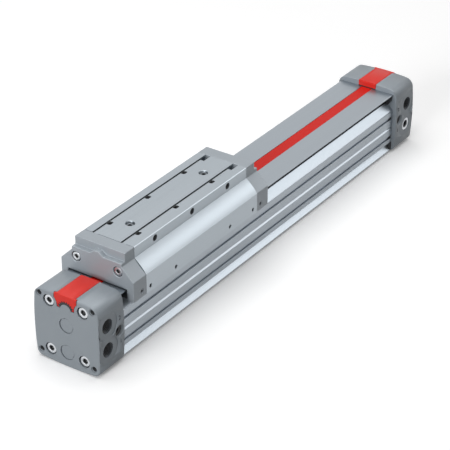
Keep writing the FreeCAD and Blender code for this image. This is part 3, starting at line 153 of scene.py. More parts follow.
def noise(tree, place, scale, settings):
    look = {"Scale": scale, "Detail": settings["detail"], "Roughness": settings["roughness"]}
    return addNode(tree, "ShaderNodeTexNoise", look, {"Vector": place}).outputs["Fac"]


def tint(tree, surface, source, dark, light):    # a 0-1 pattern becomes the colour between two hex values
    tree.links.new(mixed(tree, source, linear(dark), linear(light)), surface.inputs["Base Color"])


def sway(tree, surface, source, roughness, change):    # a 0-1 pattern moves the roughness between two changes
    limits = {"To Min": roughness + change[0], "To Max": roughness + change[1]}
    moved = addNode(tree, "ShaderNodeMapRange", limits, {"Value": source})
    tree.links.new(moved.outputs[0], surface.inputs["Roughness"])


def emboss(tree, surface, source, strength, depth):
    bump = addNode(tree, "ShaderNodeBump", {"Strength": strength, "Distance": depth * mm}, {"Height": source})
    tree.links.new(bump.outputs[0], surface.inputs["Normal"])


def inStretch(tree, place, stretch):    # 1 inside a stretch of the section, on both sides of the middle
    split = addNode(tree, "ShaderNodeSeparateXYZ", {}, {0: place}).outputs
    aside = maths(tree, "ABSOLUTE", split[1], 0.0)
    inside = 1.0
    for value, (low, high) in ((aside, stretch[:2]), (split[2], stretch[2:])):
        inside = maths(tree, "MULTIPLY", inside, maths(tree, "GREATER_THAN", value, low * mm))
        inside = maths(tree, "MULTIPLY", inside, maths(tree, "LESS_THAN", value, high * mm))
    return inside


def layPaintedShade(tree, surface, amount):
    # Lays painted shade, a near-black, over the colour made so far by an amount of 0 to 1; the last amount
    # laid dulls the metal too
    before = surface.inputs["Base Color"].links[0].from_socket
    tree.links.new(mixed(tree, amount, before, paintedShadeColour), surface.inputs["Base Color"])
    metallic = surface.inputs["Metallic"].default_value
    dulled = maths(tree, "MULTIPLY", metallic, maths(tree, "SUBTRACT", 1.0, amount))
    tree.links.new(dulled, surface.inputs["Metallic"])


dieLines = {
    "width": 0.5,
    "along": 3.0,             # changes a metre along the length
    "detail": 3.0,
    "roughness": 0.6,
    "sway": (-0.05, 0.07),
    "bump": (0.12, 0.03),     # strength and depth
}


def makeExtruded(name, dark, light, roughness, metallic, shadeStretches=()):
    # Anodised aluminium extrusion: satin metal with faint die lines along its length, and with painted shade
    # in the given stretches of its section
    material, tree, surface, place = newMaterial(name, {"Metallic": metallic, "Roughness": roughness})
    across = 1 / (dieLines["width"] * mm)
    drawn = addNode(tree, "ShaderNodeMapping", {"Scale": (dieLines["along"], across, across)},
                    {"Vector": place})
    lines = noise(tree, drawn.outputs[0], 1.0, dieLines)
    sway(tree, surface, lines, roughness, dieLines["sway"])
    tint(tree, surface, lines, dark, light)
    for stretch in shadeStretches:
        layPaintedShade(tree, surface, inStretch(tree, place, stretch))
    emboss(tree, surface, lines, *dieLines["bump"])
    return material


grain = {
    "detail": 2.0,
    "roughness": 0.6,
    "bump": 0.35,
}
patches = {
    "size": 22.0,
    "detail": 4.0,
    "roughness": 0.55,
    "sway": (-0.05, 0.05),
}


def makeBlasted(name, dark, light, roughness, metallic, grit, depth, shine=0.5):
    # Blasted die casting or moulded plastic: an even fine grain with slow patches of tone
    material, tree, surface, place = newMaterial(
        name, {"Metallic": metallic, "Roughness": roughness, "Specular IOR Level": shine})
    fine = noise(tree, place, 1 / (grit * mm), grain)
    slow = noise(tree, place, 1 / (patches["size"] * mm), patches)
    tint(tree, surface, maths(tree, "MULTIPLY", maths(tree, "ADD", fine, slow), 0.5), dark, light)
    sway(tree, surface, slow, roughness, patches["sway"])
    emboss(tree, surface, fine, grain["bump"], depth)
    return material


clouds = {
    "size": 1.5,
    "detail": 4.0,
    "roughness": 0.6,
    "sway": (-0.08, 0.1),
}


def makeTurned(name, dark, light, roughness):
    # Zinc plated or turned metal: slightly cloudy, and with painted shade laid as far as the mesh's shade
    # attribute asks
    material, tree, surface, place = newMaterial(name, {"Metallic": 1.0, "Roughness": roughness})
    cloudy = noise(tree, place, 1 / (clouds["size"] * mm), clouds)
    tint(tree, surface, cloudy, dark, light)
    layPaintedShade(tree, surface, addNode(tree, "ShaderNodeAttribute", {"attribute_name": "paintedShade"}).outputs["Fac"])
    sway(tree, surface, cloudy, roughness, clouds["sway"])
    return material


# Stretches of the barrel's section that get painted shade, the dark line of shadow under its lip: lowest and
# highest distance from the middle, then height
barrelShadeStretches = [
    (19.0, 20.2, 46.9, 49.4),    # the root of the vee under its lip
    (25.9, 26.1, 54.8, 55.4),    # the narrow side of the lip
]
finishes = {
    "barrel_aluminium": makeExtruded("anodisedBarrel", "#979ea5", "#a2a9af", 0.34, 0.95, barrelShadeStretches),
    "carriage_aluminium": makeExtruded("anodisedCarriage", "#9da5ab", "#a8afb5", 0.36, 0.95),
    "cast_aluminium": makeBlasted("paintedCasting", "#868e95", "#939aa0", 0.42, 0.12, 0.5, 0.04, 0.4),
    "cap_aluminium": makeBlasted("blastedCasting", "#959da4", "#a3aab0", 0.42, 0.2, 0.5, 0.04, 0.4),
    "turned_aluminium": makeTurned("milledAluminium", "#b5b9bd", "#cfd2d5", 0.35),
    "red_plastic": makeBlasted("redMouldedCover", "#cf241c", "#dc362b", 0.42, 0.0, 0.4, 0.02, 0.3),
    "red_band": makeBlasted("redSealingBand", "#ca1a10", "#d8241a", 0.45, 0.0, 0.6, 0.015, 0.15),
    "zinc_steel": makeTurned("zincPlatedSteel", "#c0c4c8", "#dadde0", 0.3),
    "spring_steel": makeTurned("rolledSpringSteel", "#a9adb1", "#c6c9cc", 0.25),
    "black_rubber": makeBlasted("nitrileRubber", "#17181a", "#232427", 0.6, 0.0, 0.4, 0.02),
    "magnet_black": makeBlasted("bondedMagnet", "#222326", "#303134", 0.55, 0.0, 0.3, 0.02),
    "guide_plastic": makeBlasted("mouldedAcetal", "#cfcdc4", "#deddd6", 0.4, 0.0, 0.5, 0.02),
}
blackened = makeTurned("blackenedSteel", "#26282b", "#3a3d41", 0.4)
# A dark finish of painted shade, for the deep threads, the adjusters' recesses and the port digits
darkShadeFinish = makeTurned("paintedShadeMetal", "#3a3e42", "#54585d", 0.35)
greyed = makeTurned("passivatedSteel", "#6d7277", "#83888d", 0.4)
for node, item in nodes.items():
    item.data.materials.clear()
    item.data.materials.append(finishes[slotOf[node]])
print("materials made")

# Helpers for pieces

facings = {
    "-X": Matrix.Rotation(math.radians(-90), 4, "Y"),
    "+X": Matrix.Rotation(math.radians(90), 4, "Y"),
    "-Y": Matrix.Rotation(math.radians(90), 4, "X"),
    "+Y": Matrix.Rotation(math.radians(-90), 4, "X"),
    "+Z": Matrix.Identity(4),
}
shaping = {
    "around": 48,       # corners of a turned ring
    "smooth": 32,       # degrees between faces from which the edge is shaded sharp
    "rounded": 28,      # degrees between faces from which the edge is rounded
    "segments": 2,      # of a rounded edge
    "corner": 0.5,      # radians between faces from which an edge can be chosen for rounding
    "near": 0.02,       # distance within which a point counts as on a face
    "merged": 0.002,    # distance within which points become one
    "flat": 0.6,        # degrees within which faces become one
    "crowded": 20,      # corners of a face above which it is split
    "clear": 1.0,       # how far a cutter stands out of the surface
}


def evaluated(item):    # the object's mesh after its modifiers
    bpy.context.view_layer.update()
    graph = bpy.context.evaluated_depsgraph_get()
    return bpy.data.meshes.new_from_object(item.evaluated_get(graph), depsgraph=graph)


def opened(mesh):
    work = bmesh.new()
    work.from_mesh(mesh)
    return work


def stored(work, mesh):
    work.to_mesh(mesh)
    work.free()
    return mesh


def addPiece(name, mesh, finish, body, replaced=()):
    mesh.name = name
    mesh.materials.clear()
    mesh.materials.append(finish)
    piece = linked(name, mesh)
    if replaced:
        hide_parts(*replaced)
    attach(piece, body)


def isCorner(edge):
    return edge.calc_face_angle(0) > shaping["corner"]


def bevelled(mesh, width, chosen=None):    # chosen tells which edges to round, otherwise all the sharp ones
    if chosen:
        work = opened(mesh)
        weight = work.edges.layers.float.new("bevel_weight_edge")
        for edge in work.edges:
            edge[weight] = 1.0 if chosen(edge) else 0.0
        stored(work, mesh)
    item = linked("edging", mesh)
    bevel = item.modifiers.new("edges", "BEVEL")
    bevel.width = width * mm
    bevel.segments = shaping["segments"]
    bevel.limit_method = "WEIGHT" if chosen else "ANGLE"
    bevel.angle_limit = math.radians(shaping["rounded"])
    bevel.use_clamp_overlap = False
    bevel.harden_normals = True
    result = evaluated(item)
    bpy.data.objects.remove(item)
    return result


def skinned(name, work, loops, closed=False):
    # Faces from each loop of points to the next, and over both ends or, when closed, from last to first
    others = loops[1:] + loops[:1] if closed else loops[1:]
    for low, high in zip(loops, others):
        for step in range(len(low)):
            following = (step + 1) % len(low)
            work.faces.new((low[step], low[following], high[following], high[step]))
    if not closed:
        work.faces.new(list(reversed(loops[0])))
        work.faces.new(loops[-1])
    bmesh.ops.recalc_face_normals(work, faces=work.faces)
    return stored(work, bpy.data.meshes.new(name))


def turnedMesh(name, rings, closed=False):
    # A turned form from rings of (shape, half width, height, shade); the shade, 0 where it is left out, goes
    # into an attribute that the material turns into painted shade
    work = bmesh.new()
    paintedShade = work.verts.layers.float.new("paintedShade")
    loops = []
    for shape, size, height, *dark in rings:
        loop = []
        for step in range(shaping["around"]):
            angle = 2 * math.pi * step / shaping["around"]
            offFlat = (angle + math.pi / 6) % (math.pi / 3) - math.pi / 6
            reach = size / math.cos(offFlat) if shape == "hex" else size
            x, y = reach * math.cos(angle), reach * math.sin(angle)
            loop.append(work.verts.new((x * mm, y * mm, height * mm)))
            loop[-1][paintedShade] = sum(dark)
        loops.append(loop)
    mesh = skinned(name, work, loops, closed)
    mesh.shade_smooth()
    mesh.set_sharp_from_angle(angle=math.radians(shaping["smooth"]))
    return mesh


def drill(radius, depth):    # a cutter for a round hole
    return turnedMesh("drill", [("round", radius, -depth), ("round", radius, shaping["clear"])])


def extruded(name, outline, low, high):    # a closed outline of (y, z) places, extruded along X
    work = bmesh.new()
    loops = [[work.verts.new((depth * mm, y * mm, z * mm)) for y, z in outline] for depth in (low, high)]
    return skinned(name, work, loops)


def rectangle(left, right, low, high):
    return [(left, low), (right, low), (right, high), (left, high)]


def placed(mesh, facing, x, y, z):
    mesh.transform(Matrix.Translation((x * mm, y * mm, z * mm)) @ facings[facing])
    return mesh


def repeated(name, template, finish, start, steps, counts):
    # Geometry Nodes: copies of one mesh on a grid that runs along two steps
    host = linked(name + "Host", bpy.data.meshes.new(name))
    piece = linked(name + "Template", template)
    tree = bpy.data.node_groups.new(name, "GeometryNodeTree")
    wanted = [
        ("Start", "NodeSocketVector", start), ("Step A", "NodeSocketVector", steps[0]),
        ("Step B", "NodeSocketVector", steps[1]), ("Count A", "NodeSocketInt", counts[0]),
        ("Count B", "NodeSocketInt", counts[1]), ("Piece", "NodeSocketObject", piece),
        ("Finish", "NodeSocketMaterial", finish),
    ]
    sockets = [tree.interface.new_socket(label, in_out="INPUT", socket_type=kind)
               for label, kind, _ in wanted]
    tree.interface.new_socket("Geometry", in_out="OUTPUT", socket_type="NodeSocketGeometry")
    given = addNode(tree, "NodeGroupInput").outputs
    row = addNode(tree, "GeometryNodeMeshLine", {"mode": "OFFSET"},
                  {"Count": given["Count A"], "Start Location": given["Start"], "Offset": given["Step A"]})
    column = addNode(tree, "GeometryNodeMeshLine", {"mode": "OFFSET"},
                     {"Count": given["Count B"], "Offset": given["Step B"]})
    grid = addNode(tree, "GeometryNodeInstanceOnPoints", {},
                   {"Points": row.outputs[0], "Instance": column.outputs[0]})
    points = addNode(tree, "GeometryNodeRealizeInstances", {}, {"Geometry": grid.outputs[0]})
    source = addNode(tree, "GeometryNodeObjectInfo", {}, {"Object": given["Piece"]})
    copies = addNode(tree, "GeometryNodeInstanceOnPoints", {},
                     {"Points": points.outputs[0], "Instance": source.outputs["Geometry"]})
    real = addNode(tree, "GeometryNodeRealizeInstances", {}, {"Geometry": copies.outputs[0]})
    painted = addNode(tree, "GeometryNodeSetMaterial", {},
                      {"Geometry": real.outputs[0], "Material": given["Finish"]})
    addNode(tree, "NodeGroupOutput", {}, {0: painted.outputs[0]})
    modifier = host.modifiers.new("repeat", "NODES")
    modifier.node_group = tree
    for socket, (_, _, value) in zip(sockets, wanted):
        modifier[socket.identifier] = value
    mesh = evaluated(host)
    host.modifiers.clear()
    bpy.data.objects.remove(host)
    bpy.data.objects.remove(piece)
    return mesh


def mergedCopy(node):
    mesh = nodes[node].data.copy()
    work = opened(mesh)
    bmesh.ops.remove_doubles(work, verts=work.verts, dist=shaping["merged"] * mm)
    bmesh.ops.dissolve_limit(work, angle_limit=math.radians(shaping["flat"]), verts=work.verts,
                             edges=work.edges)
    return stored(work, mesh)


def cutAway(mesh, cutters):
    item = linked("cutWork", mesh)
    tools = [linked("cutter", cutter) for cutter in cutters]
    for tool in tools:
        cutting = item.modifiers.new("cut", "BOOLEAN")
        cutting.operation = "DIFFERENCE"
        cutting.solver = "EXACT"
        cutting.object = tool
    result = evaluated(item)
    for used in [item] + tools:
        bpy.data.objects.remove(used)
    # Faces full of holes are split, which keeps them whole when their edges are rounded
    work = opened(result)
    crowded = [face for face in work.faces if len(face.verts) > shaping["crowded"]]
    bmesh.ops.triangulate(work, faces=crowded, ngon_method="EAR_CLIP")
    return stored(work, result)


# Main pieces: each keeps its solid's own surface and gets the small edge rounds that catch the light

edgeRounds = {
    "barrel_profile": 0.15,
    "carriage_body": 0.3,
    "carriage_cap_left": 0.5,
    "carriage_cap_right": 0.5,
    "end_cap_left": 0.7,
    "end_cap_right": 0.7,
    "slot_bars": 0.12,
}
caps = {
    "face": 226.0,
    "barrelFace": 196.0,
    "holes": (26.9, 4.4, 58.55),       # half width, lowest and highest of the face's part that has holes
    "cornerSide": 24.2,
    "cornerHeights": (7.1, 55.8),
    "flare": (2.65, 0.7),              # radius and depth of the corner holes' mouths
    "blankHeights": (12.7, 35.7),
    "blankRing": (5.7, 6.3, 1.1),      # inner and outer radius and depth of the round marks
}


def endCapCutters(sign, settings):
    facing = "+X" if sign > 0 else "-X"
    face = sign * settings["face"]
    cutters = []
    for height in settings["cornerHeights"]:
        for side in (-1, 1):
            flare = drill(*settings["flare"])
            cutters.append(placed(flare, facing, face, side * settings["cornerSide"], height))
    inner, outer, depth = settings["blankRing"]
    clear = shaping["clear"]
    rings = [("round", inner, -depth), ("round", outer, -depth), ("round", outer, clear),
             ("round", inner, clear)]
    for height in settings["blankHeights"]:
        cutters.append(placed(turnedMesh("blank", rings, closed=True), facing, face, 0, height))
    return cutters


def onCapOutline(edge):    # the outline of an end cap's outer and inner faces, clear of the holes
    half, low, high = caps["holes"]
    for face in (caps["face"], caps["barrelFace"]):
        if all(abs(abs(vert.co.x) - face * mm) < shaping["near"] * mm for vert in edge.verts):
            places = [(abs(vert.co.y) / mm, vert.co.z / mm) for vert in edge.verts]
            return all(y > half or z < low or z > high for y, z in places) and isCorner(edge)
    return False


bars = {
    "side": 13.0,
    "holes": (-155.0, -108.0, -61.0),
    "thread": (2.6, 5.2),         # radius and depth of the thread's roots
    "top": 83.2,
    "gap": (1.3, 2.6),            # from the bar's middle to the dark gap and past the slot's edge
    "gapDepth": 1.1,
    "gapCut": (-180.0, -20.0),    # the gap's cutter goes past both ends of the bars
    "gapClear": 4.0,              # and this far up
    "strip": (-172.8, -37.2),     # the black strip of painted shade in the gap, from end to end
    "gapShadePlay": 0.2,             # between it and the slot's edge
    "gapShadeHeight": 0.4,
}


def barCutters(settings):
    low, high = settings["gap"]
    floor = settings["top"] - settings["gapDepth"]
    cutters = []
    for side in (-1, 1):
        middle = side * settings["side"]
        outline = rectangle(middle + low, middle + high, floor, floor + settings["gapClear"])
        cutters.append(extruded("gap", outline, *settings["gapCut"]))
        for place in settings["holes"]:
            cutters.append(placed(drill(*settings["thread"]), "+Z", place, middle, settings["top"]))
    return cutters


body = {
    "ends": [corner[0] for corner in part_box("carriage_body")],
    "chamfer": (22.2, 83.0),      # the top chamfer lies further out and higher than this
    "slope": (0.6, 0.8),          # range of the upward share of the shoulders' normals
    "shoulderArea": 1000.0,       # in square mm, which leaves the chamfers out
    "bulge": 0.7,
    "bulgeCuts": 9,
    "upright": 0.01,              # length along X within which the end edge of a shoulder stays
}


def crownShoulders(mesh, settings):
    # Gives the flat shoulders of the carriage the slight bulge that lets light fade over them
    work = opened(mesh)
    gentle, steep = settings["slope"]
    least = settings["shoulderArea"] * mm * mm
    shoulders = [face for face in work.faces
                 if gentle < face.normal.z < steep and face.calc_area() > least]
    for shoulder in shoulders:
        out = shoulder.normal.copy()
        heights = [vert.co.z for vert in shoulder.verts]
        low, high = min(heights), max(heights)
        rims = [edge for edge in shoulder.edges
                if abs(edge.verts[0].co.x - edge.verts[1].co.x) < settings["upright"] * mm]
        made = bmesh.ops.subdivide_edges(work, edges=rims, cuts=settings["bulgeCuts"], use_grid_fill=True)
        for vert in made["geom_inner"]:
            if isinstance(vert, bmesh.types.BMVert):
                share = (vert.co.z - low) / (high - low)
                vert.co += out * (4 * share * (1 - share) * settings["bulge"] * mm)
    return stored(work, mesh)


def onBodyEdges(edge):    # the carriage body's edges, without the ends under its caps and its top chamfer
    aside, height = body["chamfer"]
    covered = all(min(abs(vert.co.x - end) for end in body["ends"]) < shaping["near"] * mm
                  for vert in edge.verts)
    chamfered = all(abs(vert.co.y) > aside * mm and vert.co.z > height * mm for vert in edge.verts)
    return isCorner(edge) and not covered and not chamfered


for node, width in edgeRounds.items():
    mesh = mergedCopy(node)
    chosen = None
    if node.startswith("end_cap"):
        mesh = cutAway(mesh, endCapCutters(1 if node.endswith("right") else -1, caps))
        chosen = onCapOutline
    if node == "slot_bars":
        mesh = cutAway(mesh, barCutters(bars))
    if node == "carriage_body":
        mesh = crownShoulders(mesh, body)
        chosen = onBodyEdges
    mesh = bevelled(mesh, width, chosen)
    addPiece(node + "Finished", mesh, finishes[slotOf[node]], bodyOf[node], [node])
print("edges finished")

# Fasteners with real sockets, on the places of their solids

# Radii of head, shank and socket; depth is the socket's, edge is the width of the head's rounding; the last
# radius, where given, is that of a dark ring of painted shade in the counterbore round the head
screws = {
    "cap": {"radii": (4.25, 2.4, 2.0), "depth": 2.5, "edge": 0.35, "headHeight": 4.6, "shadeRing": 4.9},
    "face": {"radii": (3.5, 1.9, 1.5), "depth": 2.0, "edge": 0.3, "headHeight": 3.6, "shadeRing": 4.0},
    "yoke": {"radii": (3.05, 1.9, 1.5), "depth": 2.0, "edge": 0.3, "headHeight": 4.0, "shadeRing": 3.6},
    "grub": {"radii": (1.5, 1.5, 0.75), "depth": 1.6, "edge": 0.2, "length": 4.4},
    "side": {"radii": (2.05, 2.05, 1.0), "depth": 1.6, "edge": 0.3, "length": 2.5},
    "plug": {"radii": (5.8, 5.8, 3.0), "depth": 4.0, "edge": 0.5},
    "adjuster": {"radii": (2.5, 2.5, 1.25), "depth": 2.4, "edge": 0.3},
}
screwForm = {
    "tip": 0.4,               # chamfer of the shank's end
    "shadeRing": (1.3, 0.7),     # a dark ring of painted shade in the counterbore: depth of its underside and its top below the head's face
    "rounding": 0.3,          # how far the rounding's middle lies in, in widths of it
    "mouth": (1.32, 0.18),    # the socket's mouth: radius and depth, in half widths of the socket
    "cone": (0.5, 0.3),       # the drilled cone at its bottom, the same way
}
setScrewSpans = {"Near": (0, 34.8), "Far": (102.7, 137.5)}    # of the two pairs in a row, from its end


def screwMesh(settings, length):
    # Head up at height 0; length is from the head's face to the shank's end. The socket, the head's lower
    # flank and the ring under it carry painted shade
    head, shank, half = settings["radii"]
    depth, edge = settings["depth"], settings["edge"]
    tip, inset = screwForm["tip"], edge * screwForm["rounding"]
    mouthRadius, mouthDepth = screwForm["mouth"]
    coneRadius, coneDepth = screwForm["cone"]
    rings = [("round", shank - tip, -length), ("round", shank, -length + tip)]
    if "shadeRing" in settings:
        shadeRing, headHeight = settings["shadeRing"], settings["headHeight"]
        under, over = screwForm["shadeRing"]
        rings += [
            ("round", shank, -headHeight), ("round", head, -headHeight), ("round", head, -under, 1),
            ("round", shadeRing, -under, 1), ("round", shadeRing, -over, 1), ("round", head, -over, 1),
        ]
    rings += [
        ("round", head, -edge), ("round", head - inset, -inset), ("round", head - edge, 0),
        ("round", half * mouthRadius, 0), ("hex", half, -half * mouthDepth, 0.7), ("hex", half, -depth, 1),
        ("round", half * coneRadius, -depth - half * coneDepth, 1),
    ]
    return turnedMesh("screw", rings)


def screwRow(name, node, kind, facing, counts, finish, span=None):
    # span, from the node's low corner, keeps the row to one stretch of the first direction across
    low, high = (Vector(corner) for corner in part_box(node))
    settings = screws[kind]
    axis = "XYZ".index(facing[1])
    outward = facing[0] == "+"
    across = [index for index in range(3) if index != axis]
    radius = settings["radii"][0] * mm
    if span:
        first = across[0]
        high[first] = low[first] + span[1] * mm
        low[first] = low[first] + span[0] * mm
    start = (low + high) / 2
    start[axis] = (high if outward else low)[axis]
    steps = []
    for index, count in zip(across, counts):
        step = Vector((0, 0, 0))
        if count > 1:
            start[index] = low[index] + radius
            step[index] = (high[index] - low[index] - 2 * radius) / (count - 1)
        steps.append(step)
    length = settings.get("length") or (high[axis] - low[axis]) / mm
    template = screwMesh(settings, length)
    template.transform(facings[facing])
    mesh = repeated(name, template, finish, start, steps, counts)
    addPiece(name, mesh, finish, bodyOf[node], [node])


steel = finishes["zinc_steel"]
for side, facing in (("left", "-X"), ("right", "+X")):
    screwRow(side + "CapScrews", "end_cap_screws_" + side, "cap", facing, (2, 2), steel)
    screwRow(side + "FaceScrews", "carriage_cap_screws_" + side, "face", facing, (2, 1), steel)
    screwRow(side + "Adjuster", "cushion_screw_" + side, "adjuster", "-Y", (1, 1), blackened)
screwRow("yokeScrews", "yoke_screws", "yoke", "+Z", (2, 1), greyed)
screwRow("portPlug", "port_plug", "plug", "-Y", (1, 1), steel)
for side, facing in (("Front", "-Y"), ("Rear", "+Y")):
    screwRow("sideScrews" + side, "cap_side_screws", "side", facing, (2, 1), greyed)
    for name, span in setScrewSpans.items():
        screwRow("setScrews" + name + side, "guide_set_screws", "grub", facing, (2, 1), blackened, span)
print("fasteners made")

# Each band is a flat strip along the barrel and the raised or lowered stretch that goes with the carriage

bands = {
    "outer": {
        "width": 10.1,
        "floor": 54.8,
        "thickness": 0.9,
        "edge": 0.25,
        "shifted": (-171.0, -30.0),    # the stretch inside the carriage
        "limit": 56.0,                 # the shifted stretch is what lies beyond this height
        "way": 1,
    },
    "inner": {
        "width": 9.4,
        "floor": 43.3,
        "thickness": 0.4,
        "edge": 0.1,
        "shifted": (-147.0, -54.0),
        "limit": 43.2,
        "way": -1,
    },
}


def makeBand(name, settings):
    node = name + "_band"
    finish = finishes[slotOf[node]]
    low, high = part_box(node)
    half, floor = settings["width"] / 2, settings["floor"]
    outline = rectangle(-half, half, floor, floor + settings["thickness"])
    mesh = extruded("bandStrip", outline, low[0] / mm, high[0] / mm)
    addPiece(name + "BandStrip", bevelled(mesh, settings["edge"]), finish, "cylinder", [node])
    work = opened(mergedCopy(node))
    first, last = settings["shifted"]
    for place, normal in (((first, 0, 0), (-1, 0, 0)), ((last, 0, 0), (1, 0, 0)),
                          ((0, 0, settings["limit"]), (0, 0, -settings["way"]))):
        cut = bmesh.ops.bisect_plane(work, geom=work.verts[:] + work.edges[:] + work.faces[:],
                                     plane_co=Vector(place) * mm, plane_no=normal, clear_outer=True)
        rim = [item for item in cut["geom_cut"] if isinstance(item, bmesh.types.BMEdge)]
        bmesh.ops.holes_fill(work, edges=rim)
    shifted = stored(work, bpy.data.meshes.new("shifted"))
    addPiece(name + "BandShifted", shifted, finish, "carriage")


for name, settings in bands.items():
    makeBand(name, settings)
print("bands laid")

# Red covers with their arch opened for the dark comb of the band end

covers = {
    "innerFace": caps["barrelFace"],
    "edge": 0.35,
    "domed": 59.0,            # height above which the edges are rounded
    "arch": 48.7,             # height of the arch's centre
    "opening": (5.7, 3.0),    # radius and depth of the arch's opening
    "seat": (7.9, 0.25),      # radius and depth of the seat that the teeth lie in
    "inner": 5.0,             # radii of the comb: inside, and at its teeth's roots and tips
    "root": 6.2,
    "tip": 7.7,
    "teeth": 8,
    "spread": 70,             # degrees on either side of upright
    "arcSteps": 12,
    "recess": (0.05, 1.4),    # of the comb's outer and inner faces behind the cover's
    "lip": (0.5, 8.45, 56.5, 60.3),     # over the band: thickness, half width, lowest and highest
    "lipShade": (0.8, 0.75),      # a black line of painted shade under the lip: thickness and height
    "overlap": 0.3,           # how far the lip and its painted shade go into the cover
}


def onCoverTop(edge):
    return all(vert.co.z > covers["domed"] * mm for vert in edge.verts) and isCorner(edge)


def makeComb(side, sign, face, settings):
    spread = math.radians(settings["spread"])
    toothSteps, arcSteps = 2 * settings["teeth"], settings["arcSteps"]
    polar = []
    for step in range(toothSteps + 1):
        reach = settings["tip"] if step % 2 else settings["root"]
        polar.append((-spread + 2 * spread * step / toothSteps, reach))
    for step in range(arcSteps, -1, -1):
        polar.append((-spread + 2 * spread * step / arcSteps, settings["inner"]))
    outline = [(reach * math.sin(angle), settings["arch"] + reach * math.cos(angle))
               for angle, reach in polar]
    low, high = sorted(face - sign * recess for recess in settings["recess"])
    mesh = extruded("comb", outline, low, high)
    addPiece(side + "BandComb", mesh, finishes["black_rubber"], "cylinder")


def makeLip(side, sign, settings):
    thickness, half, low, high = settings["lip"]
    lipShadeThickness, lipShadeHeight = settings["lipShade"]
    outer = sign * (settings["innerFace"] + settings["overlap"])
    # The red lip over the band, and under it a black line of painted shade
    for name, depth, bottom, top, finish in (
            ("Lip", thickness, low, high, "red_plastic"),
            ("LipSeal", lipShadeThickness, low - lipShadeHeight, low, "black_rubber")):
        inner = sign * (settings["innerFace"] - depth)
        mesh = extruded("lip", rectangle(-half, half, bottom, top), *sorted((inner, outer)))
        addPiece(side + name, mesh, finishes[finish], "cylinder")


def makeCovers(settings):
    for side, sign, facing in (("left", -1, "-X"), ("right", 1, "+X")):
        low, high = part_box("band_cover_" + side)
        face = (high if sign > 0 else low)[0] / mm
        cutters = [placed(drill(*settings[name]), facing, face, 0, settings["arch"])
                   for name in ("opening", "seat")]
        mesh = bevelled(cutAway(mergedCopy("band_cover_" + side), cutters), settings["edge"], onCoverTop)
        addPiece(side + "Cover", mesh, finishes["red_plastic"], "cylinder",
                 ["band_cover_" + side])
        makeComb(side, sign, face, settings)
        makeLip(side, sign, settings)


makeCovers(covers)
print("covers made")

# Threads in the open holes, with painted shade that grows darker towards their floors

threads = {
    "port": {"radius": 5.86, "pitch": 1.34, "depth": 11.6, "shade": 0},
    "corner": {"radius": 2.08, "pitch": 0.8, "depth": 9.0, "shade": 0},
    "bar": {"radius": 2.58, "pitch": 0.8, "depth": 5.0, "shade": 1},
    "side": {"radius": 2.56, "pitch": 0.8, "depth": 4.3, "shade": 0},
}
threadForm = {
    "wall": 0.15,
    "wallShade": 0.5,
    "start": 0.3,             # depth of the first turn
    "turn": ((0.05, 0.06), (0.4, 0.42), (0.6, 0.42), (0.95, 0.06)),    # each ring's place and cut, in pitches
    "tip": 0.7,               # of the last ring, in radii
}
sideHoles = {
    "first": -147.5,
    "step": 47.0,
    "aside": 22.8,
    "height": 78.9,
}
ports = {
    "aside": 215.4,
    "front": -29.4,
    "heights": (20.3, 40.6),
}
still = (0, 0, 0)


def threadMesh(settings):
    # A cup whose wall has the thread's crests and roots; the shade is the least amount of painted shade, from
    # 0 to 1, and it grows with depth
    radius, pitch, depth, shade = [settings[key] for key in ("radius", "pitch", "depth", "shade")]
    wall, start = threadForm["wall"], threadForm["start"]
    rings = [("round", radius, -depth - wall, 1),
             ("round", radius, -wall, max(threadForm["wallShade"], shade))]
    for turn in range(int((depth - start) / pitch)):
        top = start + pitch * turn
        dark = max(shade, min(1, (top + pitch) / radius))
        for share, cut in threadForm["turn"]:
            rings.append(("round", radius - cut * pitch, -top - pitch * share, dark))
    rings.append(("round", radius * threadForm["tip"], -depth, 1))
    return turnedMesh("thread", rings)


def threadGroup(name, kind, facing, start, steps, counts, body):
    template = threadMesh(threads[kind])
    template.transform(facings[facing])
    places = [Vector(value) * mm for value in (start, *steps)]
    mesh = repeated(name, template, darkShadeFinish, places[0], places[1:], counts)
    addPiece(name, mesh, darkShadeFinish, body)


def makeThreads():
    low, high = caps["cornerHeights"]
    aside = caps["cornerSide"]
    for side, sign, facing in (("Left", -1, "-X"), ("Right", 1, "+X")):
        face = sign * (caps["face"] - caps["flare"][1])
        threadGroup("cornerThreads" + side, "corner", facing, (face, -aside, low),
                    ((0, 2 * aside, 0), (0, 0, high - low)), (2, 2), "cylinder")
    first, second, _ = bars["holes"]
    threadGroup("barThreads", "bar", "+Z", (first, -bars["side"], bars["top"]),
                ((second - first, 0, 0), (0, 2 * bars["side"], 0)), (3, 2), "carriage")
    for side, sign, facing in (("Front", -1, "-Y"), ("Rear", 1, "+Y")):
        start = (sideHoles["first"], sign * sideHoles["aside"], sideHoles["height"])
        threadGroup("sideThreads" + side, "side", facing, start, ((sideHoles["step"], 0, 0), still), (3, 1),
                    "carriage")
    lower, upper = ports["heights"]
    for name, sign, height, count in (("left", -1, lower, 2), ("right", 1, upper, 1)):
        start = (sign * ports["aside"], ports["front"], height)
        threadGroup(name + "PortThreads", "port", "-Y", start, ((0, 0, upper - lower), still), (count, 1),
                    "cylinder")


recess = {
    "radii": (4.55, 2.7),           # outer and inner
    "depths": (1.6, 2.56, 5.4),     # of the outer and the inner rim and of the floor
    "side": 202.3,
    "front": ports["front"],
    "height": 29.9,
}


